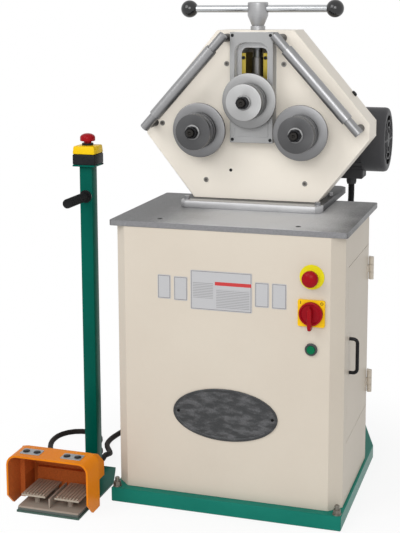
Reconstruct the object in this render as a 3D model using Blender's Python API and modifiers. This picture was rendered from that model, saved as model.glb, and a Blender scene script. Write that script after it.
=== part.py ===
"""Electric ring roller on a cabinet, with its floor pedestal and foot pedal.

Metres, +Z up, +X to the operator's right, the operator stands at -Y.
The origin is the middle of the cabinet base's underside, on the floor.
"""
import math

import bmesh
import bpy
from mathutils import Matrix, Vector

COLLECTION_NAME = "ring_roller"
CUTTER_COLLECTION_NAME = "ring_roller_cutters"

# Clearances that every piece shares
GAP = 0.0003
OVERRUN = 0.004
MERGE_DISTANCE = 0.00001
SMOOTH_ANGLE_DEGREES = 35.0

# Base plinth
BASE_WIDTH = 0.590
BASE_DEPTH = 0.652
BASE_HEIGHT = 0.037
BASE_TAPER_LENGTH = 0.176
BASE_TAPER_INSET = 0.054
BASE_EDGE_BEVEL = 0.002

# Anchor studs through the base
STUD_SIDE_MARGIN = 0.012
STUD_FRONT_MARGIN = 0.013
STUD_REAR_MARGIN = 0.020
STUD_REAR_SIDE_MARGIN = 0.024
STUD_RADIUS = 0.006
STUD_HEIGHT = 0.024
STUD_WASHER_RADIUS = 0.011
STUD_WASHER_THICKNESS = 0.0025
STUD_NUT_ACROSS_CORNERS = 0.0192
STUD_NUT_HEIGHT = 0.010
STUD_TIP_CHAMFER = 0.0015

# Cabinet
CABINET_WIDTH = 0.577
CABINET_DEPTH = 0.386
CABINET_HEIGHT = 0.673
CABINET_SETBACK = 0.023
CABINET_CORNER_CHAMFER = 0.030
CABINET_SHEET = 0.002

# Cabinet door, on the right side
DOOR_FRONT_MARGIN = 0.066
DOOR_REAR_MARGIN = 0.035
DOOR_BOTTOM = 0.188
DOOR_HEIGHT = 0.440
DOOR_SEAM = 0.0015
DOOR_LIP_DEPTH = 0.014

# Hinges of the door
HINGE_KNUCKLE_RADIUS = 0.0065
HINGE_PIN_RADIUS = 0.0030
HINGE_LENGTH = 0.060
HINGE_END_MARGIN = 0.036
HINGE_KNUCKLE_CLEARANCE = 0.0007
HINGE_AXIS_SETBACK = 0.0075
HINGE_LEAF_WIDTH = 0.013
HINGE_LEAF_THICKNESS = 0.0018

# Bow pull on the door
PULL_FRONT_MARGIN = 0.026
PULL_MIDDLE_HEIGHT = 0.402
PULL_LENGTH = 0.094
PULL_STANDOFF = 0.024
PULL_RADIUS = 0.0045
PULL_CORNER_RADIUS = 0.010

# Table plate
TABLE_WIDTH = 0.596
TABLE_THICKNESS = 0.014
TABLE_FRONT_OVERHANG = 0.002
TABLE_REAR_OVERHANG = 0.045
TABLE_CORNER_RADIUS = 0.006
TABLE_EDGE_BEVEL = 0.0016

# Switchgear plate and contactors inside the cabinet
SWITCHGEAR_PLATE_WIDTH = 0.300
SWITCHGEAR_PLATE_HEIGHT = 0.340
SWITCHGEAR_PLATE_THICKNESS = 0.003
SWITCHGEAR_PLATE_BOTTOM = 0.230
SWITCHGEAR_SPACER_RADIUS = 0.006
SWITCHGEAR_SPACER_LENGTH = 0.012
SWITCHGEAR_RAIL_HEIGHT = 0.035
SWITCHGEAR_RAIL_DEPTH = 0.007
CONTACTOR_WIDTH = 0.045
CONTACTOR_HEIGHT = 0.075
CONTACTOR_DEPTH = 0.080
CONTACTOR_STEP = 0.018
CONTACTOR_PITCH = 0.048
CONTACTOR_COUNT = 3

# Control devices on the cabinet's front, all on one vertical line
CONTROLS_X = 0.214
ESTOP_HEIGHT = 0.614
ESTOP_DISC_RADIUS = 0.030
ESTOP_DISC_THICKNESS = 0.0016
ESTOP_COLLAR_RADIUS = 0.0135
ESTOP_COLLAR_LENGTH = 0.010
MUSHROOM_RADIUS = 0.0197
MUSHROOM_LENGTH = 0.020
MUSHROOM_STEM_RADIUS = 0.010
MUSHROOM_RIM_SHARE = 0.45
MUSHROOM_UNDERSIDE_SHARE = 0.94
MUSHROOM_TRAVEL = 0.005
MAIN_SWITCH_HEIGHT = 0.527
MAIN_SWITCH_SIDE = 0.065
MAIN_SWITCH_PLATE_THICKNESS = 0.006
MAIN_SWITCH_CORNER_RADIUS = 0.004
MAIN_SWITCH_DISC_RADIUS = 0.0285
MAIN_SWITCH_DISC_THICKNESS = 0.010
MAIN_SWITCH_GRIP_LENGTH = 0.068
MAIN_SWITCH_GRIP_WIDTH = 0.017
MAIN_SWITCH_GRIP_TIP_WIDTH = 0.009
MAIN_SWITCH_GRIP_HEIGHT = 0.016
MAIN_SWITCH_EDGE_SHARE = 0.95
MAIN_SWITCH_RIM_SHARE = 0.8
MAIN_SWITCH_GRIP_TOP_SHARE = 0.38
MAIN_SWITCH_GRIP_SHOULDER_SHARE = 0.58
START_BUTTON_HEIGHT = 0.438
START_BEZEL_RADIUS = 0.0150
START_BEZEL_BORE_RADIUS = 0.0105
START_BEZEL_LENGTH = 0.006
START_BEZEL_EDGE_SHARE = 0.92
START_BUTTON_PROUD = 0.0025
START_BUTTON_EDGE_SHARE = 0.9
START_BUTTON_TRAVEL = 0.0035

# Base plate of the head, bolted to the table
HEAD_BASE_WIDTH = 0.376
HEAD_BASE_DEPTH = 0.355
HEAD_BASE_THICKNESS = 0.018
HEAD_BASE_SETBACK = 0.218
HEAD_BASE_CORNER_CHAMFER = 0.015
HEAD_BOLT_SIDE_MARGIN = 0.013
HEAD_BOLT_FRONT_MARGIN = 0.026
HEAD_BOLT_PITCH = 0.160
HEAD_BOLT_ACROSS_CORNERS = 0.0150
HEAD_BOLT_HEIGHT = 0.007
HEAD_BOLT_WASHER_RADIUS = 0.0085
HEAD_BOLT_WASHER_THICKNESS = 0.0015

# Head: outline in the XZ plane, standing on its base plate
HEAD_SETBACK = 0.060
HEAD_DEPTH = 0.106
HEAD_FOOT_HALF_WIDTH = 0.167
HEAD_HALF_WIDTH = 0.298
HEAD_TOP_HALF_WIDTH = 0.102
HEAD_SIDE_BOTTOM = 0.166
HEAD_SIDE_TOP = 0.207
HEAD_HEIGHT = 0.440
HEAD_FRONT_PLATE_THICKNESS = 0.010
HEAD_REAR_PLATE_THICKNESS = 0.006
HEAD_SHEET = 0.004
HEAD_EDGE_BEVEL = 0.0012
HEAD_SCREW_HOLE_RADIUS = 0.013
HEAD_SHAFT_HOLE_RADIUS = 0.028

# Slide frame (front cover of the slide) and guide frame behind it
SLIDE_FRAME_WIDTH = 0.1132
SLIDE_FRAME_HEIGHT = 0.282
SLIDE_FRAME_TOP_DROP = 0.004
SLIDE_FRAME_PROUD = 0.038
GUIDE_FLANGE_THICKNESS = 0.0055
SLIDE_WINDOW_HALF_WIDTH = 0.0446
SLIDE_WINDOW_TOP_MARGIN = 0.026
SLIDE_WINDOW_BOTTOM_MARGIN = 0.016
SLIDE_WINDOW_ARCH_RADIUS = 0.026
GUIDE_BODY_HALF_WIDTH = 0.047
GUIDE_BODY_REACH = 0.062
GUIDE_BODY_END_MARGIN = 0.006
SLIDE_FRAME_BEVEL = 0.0008
GUIDE_WINDOW_HALF_WIDTH = 0.034
GUIDE_WINDOW_TOP_MARGIN = 0.040
GUIDE_WINDOW_BOTTOM_MARGIN = 0.014
GUIDE_WINDOW_ARCH_RADIUS = 0.014

# Brass gibs, slide block and its screw
GIB_THICKNESS = 0.0105
SLIDE_BLOCK_TOP_ABOVE_AXIS = 0.107
SLIDE_BLOCK_BOTTOM_BELOW_AXIS = 0.050
SLIDE_DOWN_TRAVEL = 0.025
SLIDE_UP_TRAVEL = 0.020
SCREW_RADIUS = 0.0100
SCREW_SETBACK = 0.027
SCREW_LEAST_GRIP = 0.013
SCREW_BORE_SPARE = 0.004
SCREW_COLLAR_RADIUS = 0.015
SCREW_COLLAR_THICKNESS = 0.004
SCREW_HUB_ENGAGEMENT = 0.034
SCREW_END_CHAMFER = 0.001

# T-handle on the screw
HUB_RADIUS = 0.0265
HUB_LENGTH = 0.0345
HUB_CONE_LENGTH = 0.0267
HUB_NECK_RADIUS = 0.0153
HUB_COLLAR_RADIUS = 0.0190
HUB_COLLAR_LENGTH = 0.0099
HUB_EDGE = 0.002
BAR_RADIUS = 0.0095
BALL_SPACING = 0.386
BAR_SHIFT = 0.008
BAR_BELOW_HUB_TOP = 0.017
BALL_RADIUS = 0.0227
BALL_MOUTH_WALL = 0.001

# Rolls: flange disc behind, grooved hub in front
LOWER_ROLL_SPACING = 0.267
LOWER_ROLL_HEIGHT_ABOVE_FOOT = 0.1855
TOP_ROLL_ABOVE_LOWER = 0.078
FLANGE_RADIUS = 0.0706
FLANGE_THICKNESS = 0.0083
FLANGE_EDGE_CHAMFER = 0.0018
FLANGE_SETBACK_FROM_HEAD = 0.0537
HUB_DISC_RADIUS = 0.0464
HUB_DISC_LENGTH = 0.050
HUB_GROOVE_DEPTH = 0.005
HUB_GROOVE_WIDTH = 0.006
HUB_LAND_WIDTH = 0.011
HUB_DISC_CHAMFER = 0.002
SPINDLE_RADIUS = 0.015
SPINDLE_NOSE_LENGTH = 0.026
SPINDLE_SHOULDER_RADIUS = 0.023
SPINDLE_SHOULDER_LENGTH = 0.008
SPINDLE_JOURNAL_RADIUS = 0.018
SPINDLE_THREAD_RADIUS = 0.010
SPINDLE_SEAT_RECESS = 0.001
SPINDLE_CENTRE_RADIUS = 0.004
SPINDLE_CENTRE_DEPTH = 0.007
SPINDLE_NOSE_CHAMFER = 0.0015
SPINDLE_COLLAR_RADIUS = 0.022
SPINDLE_COLLAR_THICKNESS = 0.005
ROLL_WASHER_RADIUS = 0.0195
ROLL_WASHER_THICKNESS = 0.003
ROLL_NUT_ACROSS_CORNERS = 0.033
ROLL_NUT_LENGTH = 0.016
BEARING_FLANGE_RADIUS = 0.046
BEARING_FLANGE_THICKNESS = 0.010
BEARING_BARREL_RADIUS = 0.034
BEARING_SPIGOT_LENGTH = 0.022
BEARING_CAP_DEPTH = 0.006

# Gear train inside the head
GEAR_TEETH = 30
PINION_TEETH = 15
GEAR_FACE_WIDTH = 0.014
GEAR_REAR_MARGIN = 0.006
GEAR_ADDENDUM_SHARE = 0.70
GEAR_DEDENDUM_SHARE = 1.05
GEAR_TIP_SHARE = 0.24
GEAR_ROOT_SHARE = 0.62
PINION_SHAFT_RADIUS = 0.022
PINION_SHAFT_LENGTH = 0.150

# Inclined guide bars with their turning sleeves
GUIDE_BAR_TOP_X = 0.065
GUIDE_BAR_TOP_Z = 0.430
GUIDE_BAR_BOTTOM_X = 0.283
GUIDE_BAR_BOTTOM_Z = 0.187
GUIDE_BAR_STANDOFF = 0.063
GUIDE_BAR_RADIUS = 0.0122
GUIDE_BAR_CHAMFER = 0.0012
GUIDE_BAR_END_MARGIN = 0.012
GUIDE_SLEEVE_RADIUS = 0.0158
GUIDE_SLEEVE_START_SHARE = 0.15
GUIDE_SLEEVE_END_SHARE = 0.86
GUIDE_STUD_SPACER_RADIUS = 0.0105

# Worm reducer behind the head
REDUCER_NECK_RADIUS = 0.050
REDUCER_BODY_WIDTH = 0.140
REDUCER_BODY_DEPTH = 0.124
REDUCER_BODY_HEIGHT = 0.176
REDUCER_BODY_BEVEL = 0.012
REDUCER_BODY_FLOOR_DROP = 0.064
REDUCER_WORM_RADIUS = 0.044
REDUCER_WORM_OVERHANG = 0.014
REDUCER_FLANGE_RADIUS = 0.070
REDUCER_FLANGE_THICKNESS = 0.012
REDUCER_REACH = 0.108
WORM_BELOW_PINION = 0.048
MOTOR_BEHIND_HEAD = 0.163

# Motor, lying along X
MOTOR_RADIUS = 0.088
MOTOR_FIN_DEPTH = 0.009
MOTOR_FIN_COUNT = 24
MOTOR_FIN_SHARE = 0.42
MOTOR_BELL_LENGTH = 0.018
MOTOR_BODY_LENGTH = 0.152
FAN_COVER_RADIUS = 0.0885
FAN_COVER_LENGTH = 0.064
FAN_COVER_SHEET = 0.0025
FAN_COVER_EDGE_RADIUS = 0.010
FAN_GRILLE_RADIUS = 0.070
FAN_GRILLE_RING_COUNT = 3
FAN_GRILLE_HUB_RADIUS = 0.017
FAN_GRILLE_WEB_WIDTH = 0.004
FAN_GRILLE_SPOKES = 6
FAN_SHAFT_RADIUS = 0.008
FAN_SHAFT_LENGTH = 0.034
FAN_RADIUS = 0.074
FAN_HUB_RADIUS = 0.022
FAN_DISC_THICKNESS = 0.003
FAN_BLADE_LENGTH = 0.022
FAN_BLADE_COUNT = 9
FAN_BLADE_SHARE = 0.08
FAN_BELL_CLEARANCE = 0.008
TERMINAL_BOX_LENGTH = 0.072
TERMINAL_BOX_WIDTH = 0.060
TERMINAL_BOX_DROP = 0.020
TERMINAL_BOX_BEVEL = 0.003

# Flexible conduit from the motor to the cabinet's back
CONDUIT_RADIUS = 0.009
CONDUIT_X = 0.206
CONDUIT_GLAND_RADIUS = 0.014
CONDUIT_GLAND_LENGTH = 0.018
CONDUIT_ENTRY_DROP = 0.080
CONDUIT_POINT_COUNT = 11

# Pedestal: foot plate, post and control station
PEDESTAL_X = -0.413
FOOT_PLATE_WIDTH = 0.168
FOOT_PLATE_LENGTH = 0.320
FOOT_PLATE_THICKNESS = 0.005
FOOT_PLATE_FRONT_AHEAD = 0.129
FOOT_PLATE_TAPER_LENGTH = 0.091
FOOT_PLATE_TAPER_INSET = 0.031
POST_SIDE = 0.035
POST_REAR_MARGIN = 0.008
POST_HEIGHT = 0.831
POST_BEVEL = 0.002
POST_CAP_SIDE = 0.061
POST_CAP_THICKNESS = 0.004
STATION_SIDE = 0.062
STATION_BOX_HEIGHT = 0.027
STATION_COVER_HEIGHT = 0.021
STATION_COVER_TOP_SHARE = 0.93
STATION_BEVEL = 0.003
STATION_COLLAR_RADIUS = 0.0150
STATION_COLLAR_LENGTH = 0.006
STATION_BORE_DEPTH = 0.008
GRIP_HEIGHT = 0.757
GRIP_RADIUS = 0.0122
GRIP_GROOVE_DEPTH = 0.0014
GRIP_LENGTH = 0.122
GRIP_RIB_COUNT = 9
GRIP_RIB_SHARE = 0.62
GRIP_END_SHARE = 0.7
GRIP_FLANGE_RADIUS = 0.0165
GRIP_FLANGE_LENGTH = 0.006

# Foot pedal
PEDAL_BASE_WIDTH = 0.162
PEDAL_BASE_THICKNESS = 0.010
PEDAL_BASE_FRONT_MARGIN = 0.002
PEDAL_BASE_BEVEL = 0.003
PEDAL_HOUSING_LENGTH = 0.010
PEDAL_HOUSING_HEIGHT = 0.058
PEDAL_DIVIDER_THICKNESS = 0.004
PEDAL_DIVIDER_FRONT_MARGIN = 0.010
PEDAL_DIVIDER_HEIGHT = 0.024
PEDAL_STOP_RADIUS = 0.0075
PEDAL_STOP_HEIGHT = 0.0135
PEDAL_STOP_SETBACK = 0.024
PEDAL_WIDTH = 0.065
PEDAL_LENGTH = 0.098
PEDAL_THICKNESS = 0.0045
PEDAL_SPACING = 0.090
PEDAL_UNDERSIDE_HEIGHT = 0.022
PEDAL_FRONT_SETBACK = 0.014
PEDAL_RIB_HEIGHT = 0.0012
PEDAL_RIB_COUNT = 7
PEDAL_RIB_LENGTH = 0.040
PEDAL_RIB_SHARE = 0.5
PEDAL_PIVOT_RADIUS = 0.004
PEDAL_PIVOT_DROP = 0.0095
PEDAL_PIVOT_SETBACK = 0.008
PEDAL_BARREL_RADIUS = 0.0065
PEDAL_WEB_THICKNESS = 0.008
PEDAL_LUG_THICKNESS = 0.005
PEDAL_LUG_RADIUS = 0.0075
PEDAL_LUG_SPACING = 0.044

# Safety hood over the pedals
GUARD_WIDTH = 0.220
GUARD_HEIGHT = 0.146
GUARD_DEPTH = 0.072
GUARD_WALL = 0.005
GUARD_CORNER_RADIUS = 0.026
GUARD_WALL_FOOT = 0.010
GUARD_FRONT_CHAMFER = 0.030
GUARD_FRONT_BEHIND_PLATE = 0.001
GUARD_HUMP_INSET = 0.012
GUARD_HUMP_DEPTH = 0.060
GUARD_HUMP_BOTTOM = 0.066
GUARD_HUMP_SHOULDER_DEPTH = 0.022
GUARD_HUMP_SHOULDER_DROP = 0.010
GUARD_HUMP_REAR_DROP = 0.044

# Loose cables on the floor
CABLE_RADIUS = 0.0075
CABLE_REST_HEIGHT = 0.0076
CABLE_POINT_PITCH_SHARE = 4.6
CABLE_GLAND_RADIUS = 0.0098
CABLE_GLAND_LENGTH = 0.026
GLAND_NOSE_SHARE = 0.86
GLAND_SHOULDER_SHARE = 0.6
ROUTE_STEPS = 16
POST_GLAND_HEIGHT = 0.022
POST_GLAND_HALF_SPACING = 0.0102
PEDAL_GLAND_X_SHIFT = -0.027
PEDAL_GLAND_HEIGHT = 0.026
CABINET_GLAND_X = -0.200
CABINET_GLAND_HEIGHT = 0.078

# Facet counts of round pieces
SEGMENTS_SMALL = 12
SEGMENTS_MEDIUM = 20
SEGMENTS_LARGE = 28
SEGMENTS_ARC = 4
SEGMENTS_CORNER = 3
HEX_SIDES = 6
SOFT_EDGE_SEGMENTS = 2

# Places worked out from the sizes above
BASE_FRONT_Y = -BASE_DEPTH / 2
CABINET_FRONT_Y = BASE_FRONT_Y + CABINET_SETBACK
CABINET_REAR_Y = CABINET_FRONT_Y + CABINET_DEPTH
CABINET_BOTTOM_Z = BASE_HEIGHT + GAP
CABINET_TOP_Z = BASE_HEIGHT + CABINET_HEIGHT
CABINET_SIDE_X = CABINET_WIDTH / 2
CONDUIT_ENTRY_Z = CABINET_TOP_Z - CONDUIT_ENTRY_DROP
DOOR_FRONT_Y = CABINET_FRONT_Y + DOOR_FRONT_MARGIN
DOOR_REAR_Y = CABINET_REAR_Y - DOOR_REAR_MARGIN
DOOR_TOP_Z = DOOR_BOTTOM + DOOR_HEIGHT
HINGE_AXIS_X = CABINET_SIDE_X + HINGE_KNUCKLE_RADIUS + HINGE_KNUCKLE_CLEARANCE
HINGE_AXIS_Y = DOOR_REAR_Y + HINGE_AXIS_SETBACK
TABLE_FRONT_Y = CABINET_FRONT_Y - TABLE_FRONT_OVERHANG
TABLE_DEPTH = CABINET_DEPTH + TABLE_FRONT_OVERHANG + TABLE_REAR_OVERHANG
TABLE_TOP_Z = CABINET_TOP_Z + GAP + TABLE_THICKNESS
HEAD_BASE_FRONT_Y = TABLE_FRONT_Y + HEAD_BASE_SETBACK
HEAD_BASE_BOTTOM_Z = TABLE_TOP_Z + GAP
HEAD_FOOT_Z = HEAD_BASE_BOTTOM_Z + HEAD_BASE_THICKNESS + GAP
HEAD_TOP_Z = HEAD_FOOT_Z + HEAD_HEIGHT
HEAD_FRONT_Y = HEAD_BASE_FRONT_Y + HEAD_SETBACK
HEAD_REAR_Y = HEAD_FRONT_Y + HEAD_DEPTH
HEAD_HOUSING_FRONT_Y = HEAD_FRONT_Y + HEAD_FRONT_PLATE_THICKNESS + GAP
SLIDE_FRAME_TOP_Z = HEAD_TOP_Z - SLIDE_FRAME_TOP_DROP
SLIDE_FRAME_BOTTOM_Z = SLIDE_FRAME_TOP_Z - SLIDE_FRAME_HEIGHT
SLIDE_FRAME_FRONT_Y = HEAD_FRONT_Y - SLIDE_FRAME_PROUD
GUIDE_FRONT_Y = HEAD_FRONT_Y - GAP - GUIDE_FLANGE_THICKNESS
GUIDE_REAR_Y = HEAD_FRONT_Y + GUIDE_BODY_REACH
GUIDE_BODY_TOP_Z = SLIDE_FRAME_TOP_Z - GUIDE_BODY_END_MARGIN
GUIDE_BODY_BOTTOM_Z = SLIDE_FRAME_BOTTOM_Z + GUIDE_BODY_END_MARGIN
GUIDE_WINDOW_TOP_Z = SLIDE_FRAME_TOP_Z - GUIDE_WINDOW_TOP_MARGIN
GUIDE_WINDOW_BOTTOM_Z = SLIDE_FRAME_BOTTOM_Z + GUIDE_WINDOW_BOTTOM_MARGIN
LOWER_ROLL_Z = HEAD_FOOT_Z + LOWER_ROLL_HEIGHT_ABOVE_FOOT
TOP_ROLL_Z = LOWER_ROLL_Z + TOP_ROLL_ABOVE_LOWER
LOWER_ROLL_X = LOWER_ROLL_SPACING / 2
FLANGE_REAR_Y = HEAD_FRONT_Y - FLANGE_SETBACK_FROM_HEAD
FLANGE_FRONT_Y = FLANGE_REAR_Y - FLANGE_THICKNESS
HUB_FACE_Y = FLANGE_FRONT_Y - HUB_DISC_LENGTH
SCREW_Y = HEAD_FRONT_Y + SCREW_SETBACK
SLIDE_BLOCK_HALF_WIDTH = GUIDE_WINDOW_HALF_WIDTH - GIB_THICKNESS - 2 * GAP
SLIDE_BLOCK_TOP_Z = TOP_ROLL_Z + SLIDE_BLOCK_TOP_ABOVE_AXIS
SLIDE_BLOCK_BOTTOM_Z = TOP_ROLL_Z - SLIDE_BLOCK_BOTTOM_BELOW_AXIS
SCREW_BOTTOM_Z = SLIDE_BLOCK_TOP_Z - SLIDE_DOWN_TRAVEL - SCREW_LEAST_GRIP
HUB_TOP_Z = HEAD_TOP_Z + GAP + HUB_COLLAR_LENGTH + HUB_CONE_LENGTH + HUB_LENGTH
BAR_Z = HUB_TOP_Z - BAR_BELOW_HUB_TOP
GEAR_REAR_Y = HEAD_REAR_Y - HEAD_REAR_PLATE_THICKNESS - GEAR_REAR_MARGIN
GEAR_FRONT_Y = GEAR_REAR_Y - GEAR_FACE_WIDTH
GEAR_MODULE = LOWER_ROLL_SPACING / (GEAR_TEETH + PINION_TEETH)
MOTOR_Y = HEAD_REAR_Y + MOTOR_BEHIND_HEAD
MOTOR_Z = LOWER_ROLL_Z - WORM_BELOW_PINION
MOTOR_START_X = REDUCER_REACH + GAP
MOTOR_BELL_RADIUS = FAN_COVER_RADIUS - FAN_COVER_SHEET - GAP
MOTOR_FIN_END_X = MOTOR_START_X + MOTOR_BODY_LENGTH - MOTOR_BELL_LENGTH
FAN_COVER_START_X = MOTOR_FIN_END_X + GAP
MOTOR_END_X = FAN_COVER_START_X + FAN_COVER_LENGTH
TERMINAL_BOX_BOTTOM_Z = MOTOR_Z - MOTOR_RADIUS - TERMINAL_BOX_DROP
GUIDE_BAR_Y = HEAD_FRONT_Y - GUIDE_BAR_STANDOFF
FOOT_PLATE_FRONT_Y = BASE_FRONT_Y - FOOT_PLATE_FRONT_AHEAD
FOOT_PLATE_REAR_Y = FOOT_PLATE_FRONT_Y + FOOT_PLATE_LENGTH
POST_REAR_Y = FOOT_PLATE_REAR_Y - POST_REAR_MARGIN
POST_Y = POST_REAR_Y - POST_SIDE / 2
POST_TOP_Z = FOOT_PLATE_THICKNESS + GAP + POST_HEIGHT
STATION_BOTTOM_Z = POST_TOP_Z + POST_CAP_THICKNESS + GAP
STATION_COVER_Z = STATION_BOTTOM_Z + STATION_BOX_HEIGHT + GAP
STATION_TOP_Z = STATION_COVER_Z + STATION_COVER_HEIGHT
PEDAL_BASE_FRONT_Y = FOOT_PLATE_FRONT_Y + PEDAL_BASE_FRONT_MARGIN
GUARD_FRONT_Y = FOOT_PLATE_FRONT_Y + GUARD_FRONT_BEHIND_PLATE
GUARD_REAR_Y = GUARD_FRONT_Y + GUARD_DEPTH
GUARD_HUMP_REAR_Y = GUARD_REAR_Y + GUARD_HUMP_DEPTH
PEDAL_BASE_REAR_Y = GUARD_HUMP_REAR_Y - GUARD_WALL - GAP
PEDAL_BASE_BOTTOM_Z = FOOT_PLATE_THICKNESS + GAP
PEDAL_BASE_TOP_Z = PEDAL_BASE_BOTTOM_Z + PEDAL_BASE_THICKNESS
PEDAL_UNDERSIDE_Z = PEDAL_BASE_TOP_Z + PEDAL_UNDERSIDE_HEIGHT
PEDAL_FRONT_Y = PEDAL_BASE_FRONT_Y + PEDAL_FRONT_SETBACK
PEDAL_PIVOT_Y = PEDAL_FRONT_Y + PEDAL_LENGTH - PEDAL_PIVOT_SETBACK
PEDAL_PIVOT_Z = PEDAL_UNDERSIDE_Z - PEDAL_PIVOT_DROP

# The standard curve from a screen colour to linear light
SCREEN_WHITE = 255
SCREEN_TOE_SHARE = 0.04045
SCREEN_TOE_SLOPE = 12.92
SCREEN_OFFSET = 0.055
SCREEN_GAMMA = 2.4

# Finishes: screen colour, roughness, metallic value
CREAM_PAINT = ((222, 212, 195), 0.45, 0.0)
GREEN_PAINT = ((28, 112, 98), 0.35, 0.0)
DARK_GREEN_PAINT = ((0, 88, 75), 0.35, 0.0)
BLACK_PAINT = ((40, 40, 42), 0.5, 0.0)
TABLE_STEEL = ((140, 142, 145), 0.45, 0.9)
GROUND_STEEL = ((165, 167, 170), 0.3, 1.0)
DARK_STEEL = ((95, 96, 98), 0.35, 1.0)
BLACK_OXIDE = ((35, 35, 37), 0.4, 0.9)
ZINC = ((190, 192, 195), 0.35, 1.0)
BRASS = ((200, 170, 60), 0.3, 1.0)
CAST_GREY = ((110, 114, 118), 0.55, 0.3)
ORANGE_PLASTIC = ((225, 140, 35), 0.4, 0.0)
YELLOW_PLASTIC = ((240, 200, 25), 0.4, 0.0)
RED_PLASTIC = ((190, 25, 35), 0.35, 0.0)
GREEN_PLASTIC = ((0, 120, 75), 0.35, 0.0)
GREY_PLASTIC = ((130, 132, 134), 0.45, 0.0)
BLACK_PLASTIC = ((22, 22, 24), 0.4, 0.0)
BLACK_RUBBER = ((28, 26, 26), 0.7, 0.0)


def start_scene():
    """Empty the file and open one collection for the parts and one for the cutters."""
    for old in list(bpy.data.objects):
        bpy.data.objects.remove(old, do_unlink=True)
    for name in (COLLECTION_NAME, CUTTER_COLLECTION_NAME):
        collection = bpy.data.collections.new(name)
        bpy.context.scene.collection.children.link(collection)


def add_object(name, data, location=(0, 0, 0), rotation=(0, 0, 0)):
    """Link a new object in the parts collection."""
    obj = bpy.data.objects.new(name, data)
    obj.location = location
    obj.rotation_euler = rotation
    bpy.data.collections[COLLECTION_NAME].objects.link(obj)
    return obj


def as_mesh(obj):
    """Swap an object for the welded mesh that it evaluates to, smooth where it is round."""
    graph = bpy.context.evaluated_depsgraph_get()
    mesh = bpy.data.meshes.new_from_object(obj.evaluated_get(graph))
    shape = bmesh.new()
    shape.from_mesh(mesh)
    bmesh.ops.remove_doubles(shape, verts=shape.verts, dist=MERGE_DISTANCE)
    bmesh.ops.recalc_face_normals(shape, faces=shape.faces)
    shape.to_mesh(mesh)
    shape.free()
    mesh.shade_smooth()
    mesh.set_sharp_from_angle(angle=math.radians(SMOOTH_ANGLE_DEGREES))
    name = obj.name
    place = obj.matrix_world.copy()
    bpy.data.objects.remove(obj, do_unlink=True)
    solid = add_object(name, mesh)
    solid.name = name
    solid.matrix_world = place
    return solid


def box(name, low, high):
    """A box between two corners, with its origin at its middle."""
    size = [top - bottom for bottom, top in zip(low, high)]
    middle = [(top + bottom) / 2 for bottom, top in zip(low, high)]
    shape = bmesh.new()
    bmesh.ops.create_cube(shape, size=1.0, matrix=Matrix.Diagonal((*size, 1.0)))
    mesh = bpy.data.meshes.new(name)
    shape.to_mesh(mesh)
    shape.free()
    return add_object(name, mesh, middle)


def facing(direction):
    """Rotation that turns +Z to a direction."""
    return Vector((0, 0, 1)).rotation_difference(Vector(direction)).to_euler()


def rod(name, start, end, radius, sides=SEGMENTS_MEDIUM):
    """A cylinder, or a prism of few sides, from one point to another."""
    axis = Vector(end) - Vector(start)
    shape = bmesh.new()
    bmesh.ops.create_cone(shape, cap_ends=True, segments=sides, radius1=radius, radius2=radius,
                          depth=axis.length)
    mesh = bpy.data.meshes.new(name)
    shape.to_mesh(mesh)
    shape.free()
    mesh.shade_smooth()
    mesh.set_sharp_from_angle(angle=math.radians(SMOOTH_ANGLE_DEGREES))
    return add_object(name, mesh, (Vector(start) + Vector(end)) / 2, facing(axis))


def turned(name, profile, origin, direction, sides=SEGMENTS_LARGE, ring=False):
    """A turned piece, its profile given as (radius, distance from the origin) pairs.
    The profile starts at the end that the direction points to and runs down the outer side.
    A ring's profile goes on up its bore and closes on itself."""
    mesh = bpy.data.meshes.new(name)
    edges = [(index, index + 1) for index in range(len(profile) - 1)]
    if ring:
        edges.append((len(profile) - 1, 0))
    mesh.from_pydata([(radius, 0, along) for radius, along in profile], edges, [])
    obj = add_object(name, mesh, origin, facing(direction))
    screw = obj.modifiers.new("Screw", "SCREW")
    screw.steps = sides
    screw.render_steps = sides
    screw.use_merge_vertices = True
    screw.merge_threshold = MERGE_DISTANCE
    bpy.context.view_layer.update()
    return as_mesh(obj)


PLANES = {"XY": (0, 0, 0), "XZ": (math.pi / 2, 0, 0), "YZ": (math.pi / 2, 0, math.pi / 2)}


def plate(name, outlines, plane, start, end):
    """Flat outlines, with their holes, extruded between two places along the plane's normal:
    along Z from the XY plane, along Y from XZ, and along X from YZ."""
    curve = bpy.data.curves.new(name, "CURVE")
    curve.dimensions = "2D"
    curve.fill_mode = "BOTH"
    curve.extrude = (end - start) / 2
    for outline in outlines:
        spline = curve.splines.new("POLY")
        spline.points.add(len(outline) - 1)
        for point, (across, up) in zip(spline.points, outline):
            point.co = (across, up, 0, 1)
        spline.use_cyclic_u = True
    middle = (start + end) / 2
    location = {"XY": (0, 0, middle), "XZ": (0, middle, 0), "YZ": (middle, 0, 0)}[plane]
    obj = add_object(name, curve, location, PLANES[plane])
    bpy.context.view_layer.update()
    return as_mesh(obj)


def tube(name, points, radius, resolution=2):
    """A round bar or cable along points, with closed ends."""
    curve = bpy.data.curves.new(name, "CURVE")
    curve.dimensions = "3D"
    curve.bevel_depth = radius
    curve.bevel_resolution = resolution
    curve.use_fill_caps = True
    spline = curve.splines.new("POLY")
    spline.points.add(len(points) - 1)
    for point, place in zip(spline.points, points):
        point.co = (*place, 1)
    obj = add_object(name, curve)
    bpy.context.view_layer.update()
    return as_mesh(obj)


def combine(obj, other, operation):
    """Boolean another shape into an object and keep it as a hidden wire cutter."""
    modifier = obj.modifiers.new(other.name, "BOOLEAN")
    modifier.operation = operation
    modifier.solver = "EXACT"
    modifier.object = other
    bpy.data.collections[COLLECTION_NAME].objects.unlink(other)
    bpy.data.collections[CUTTER_COLLECTION_NAME].objects.link(other)
    other.hide_render = True
    other.display_type = "WIRE"


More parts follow.
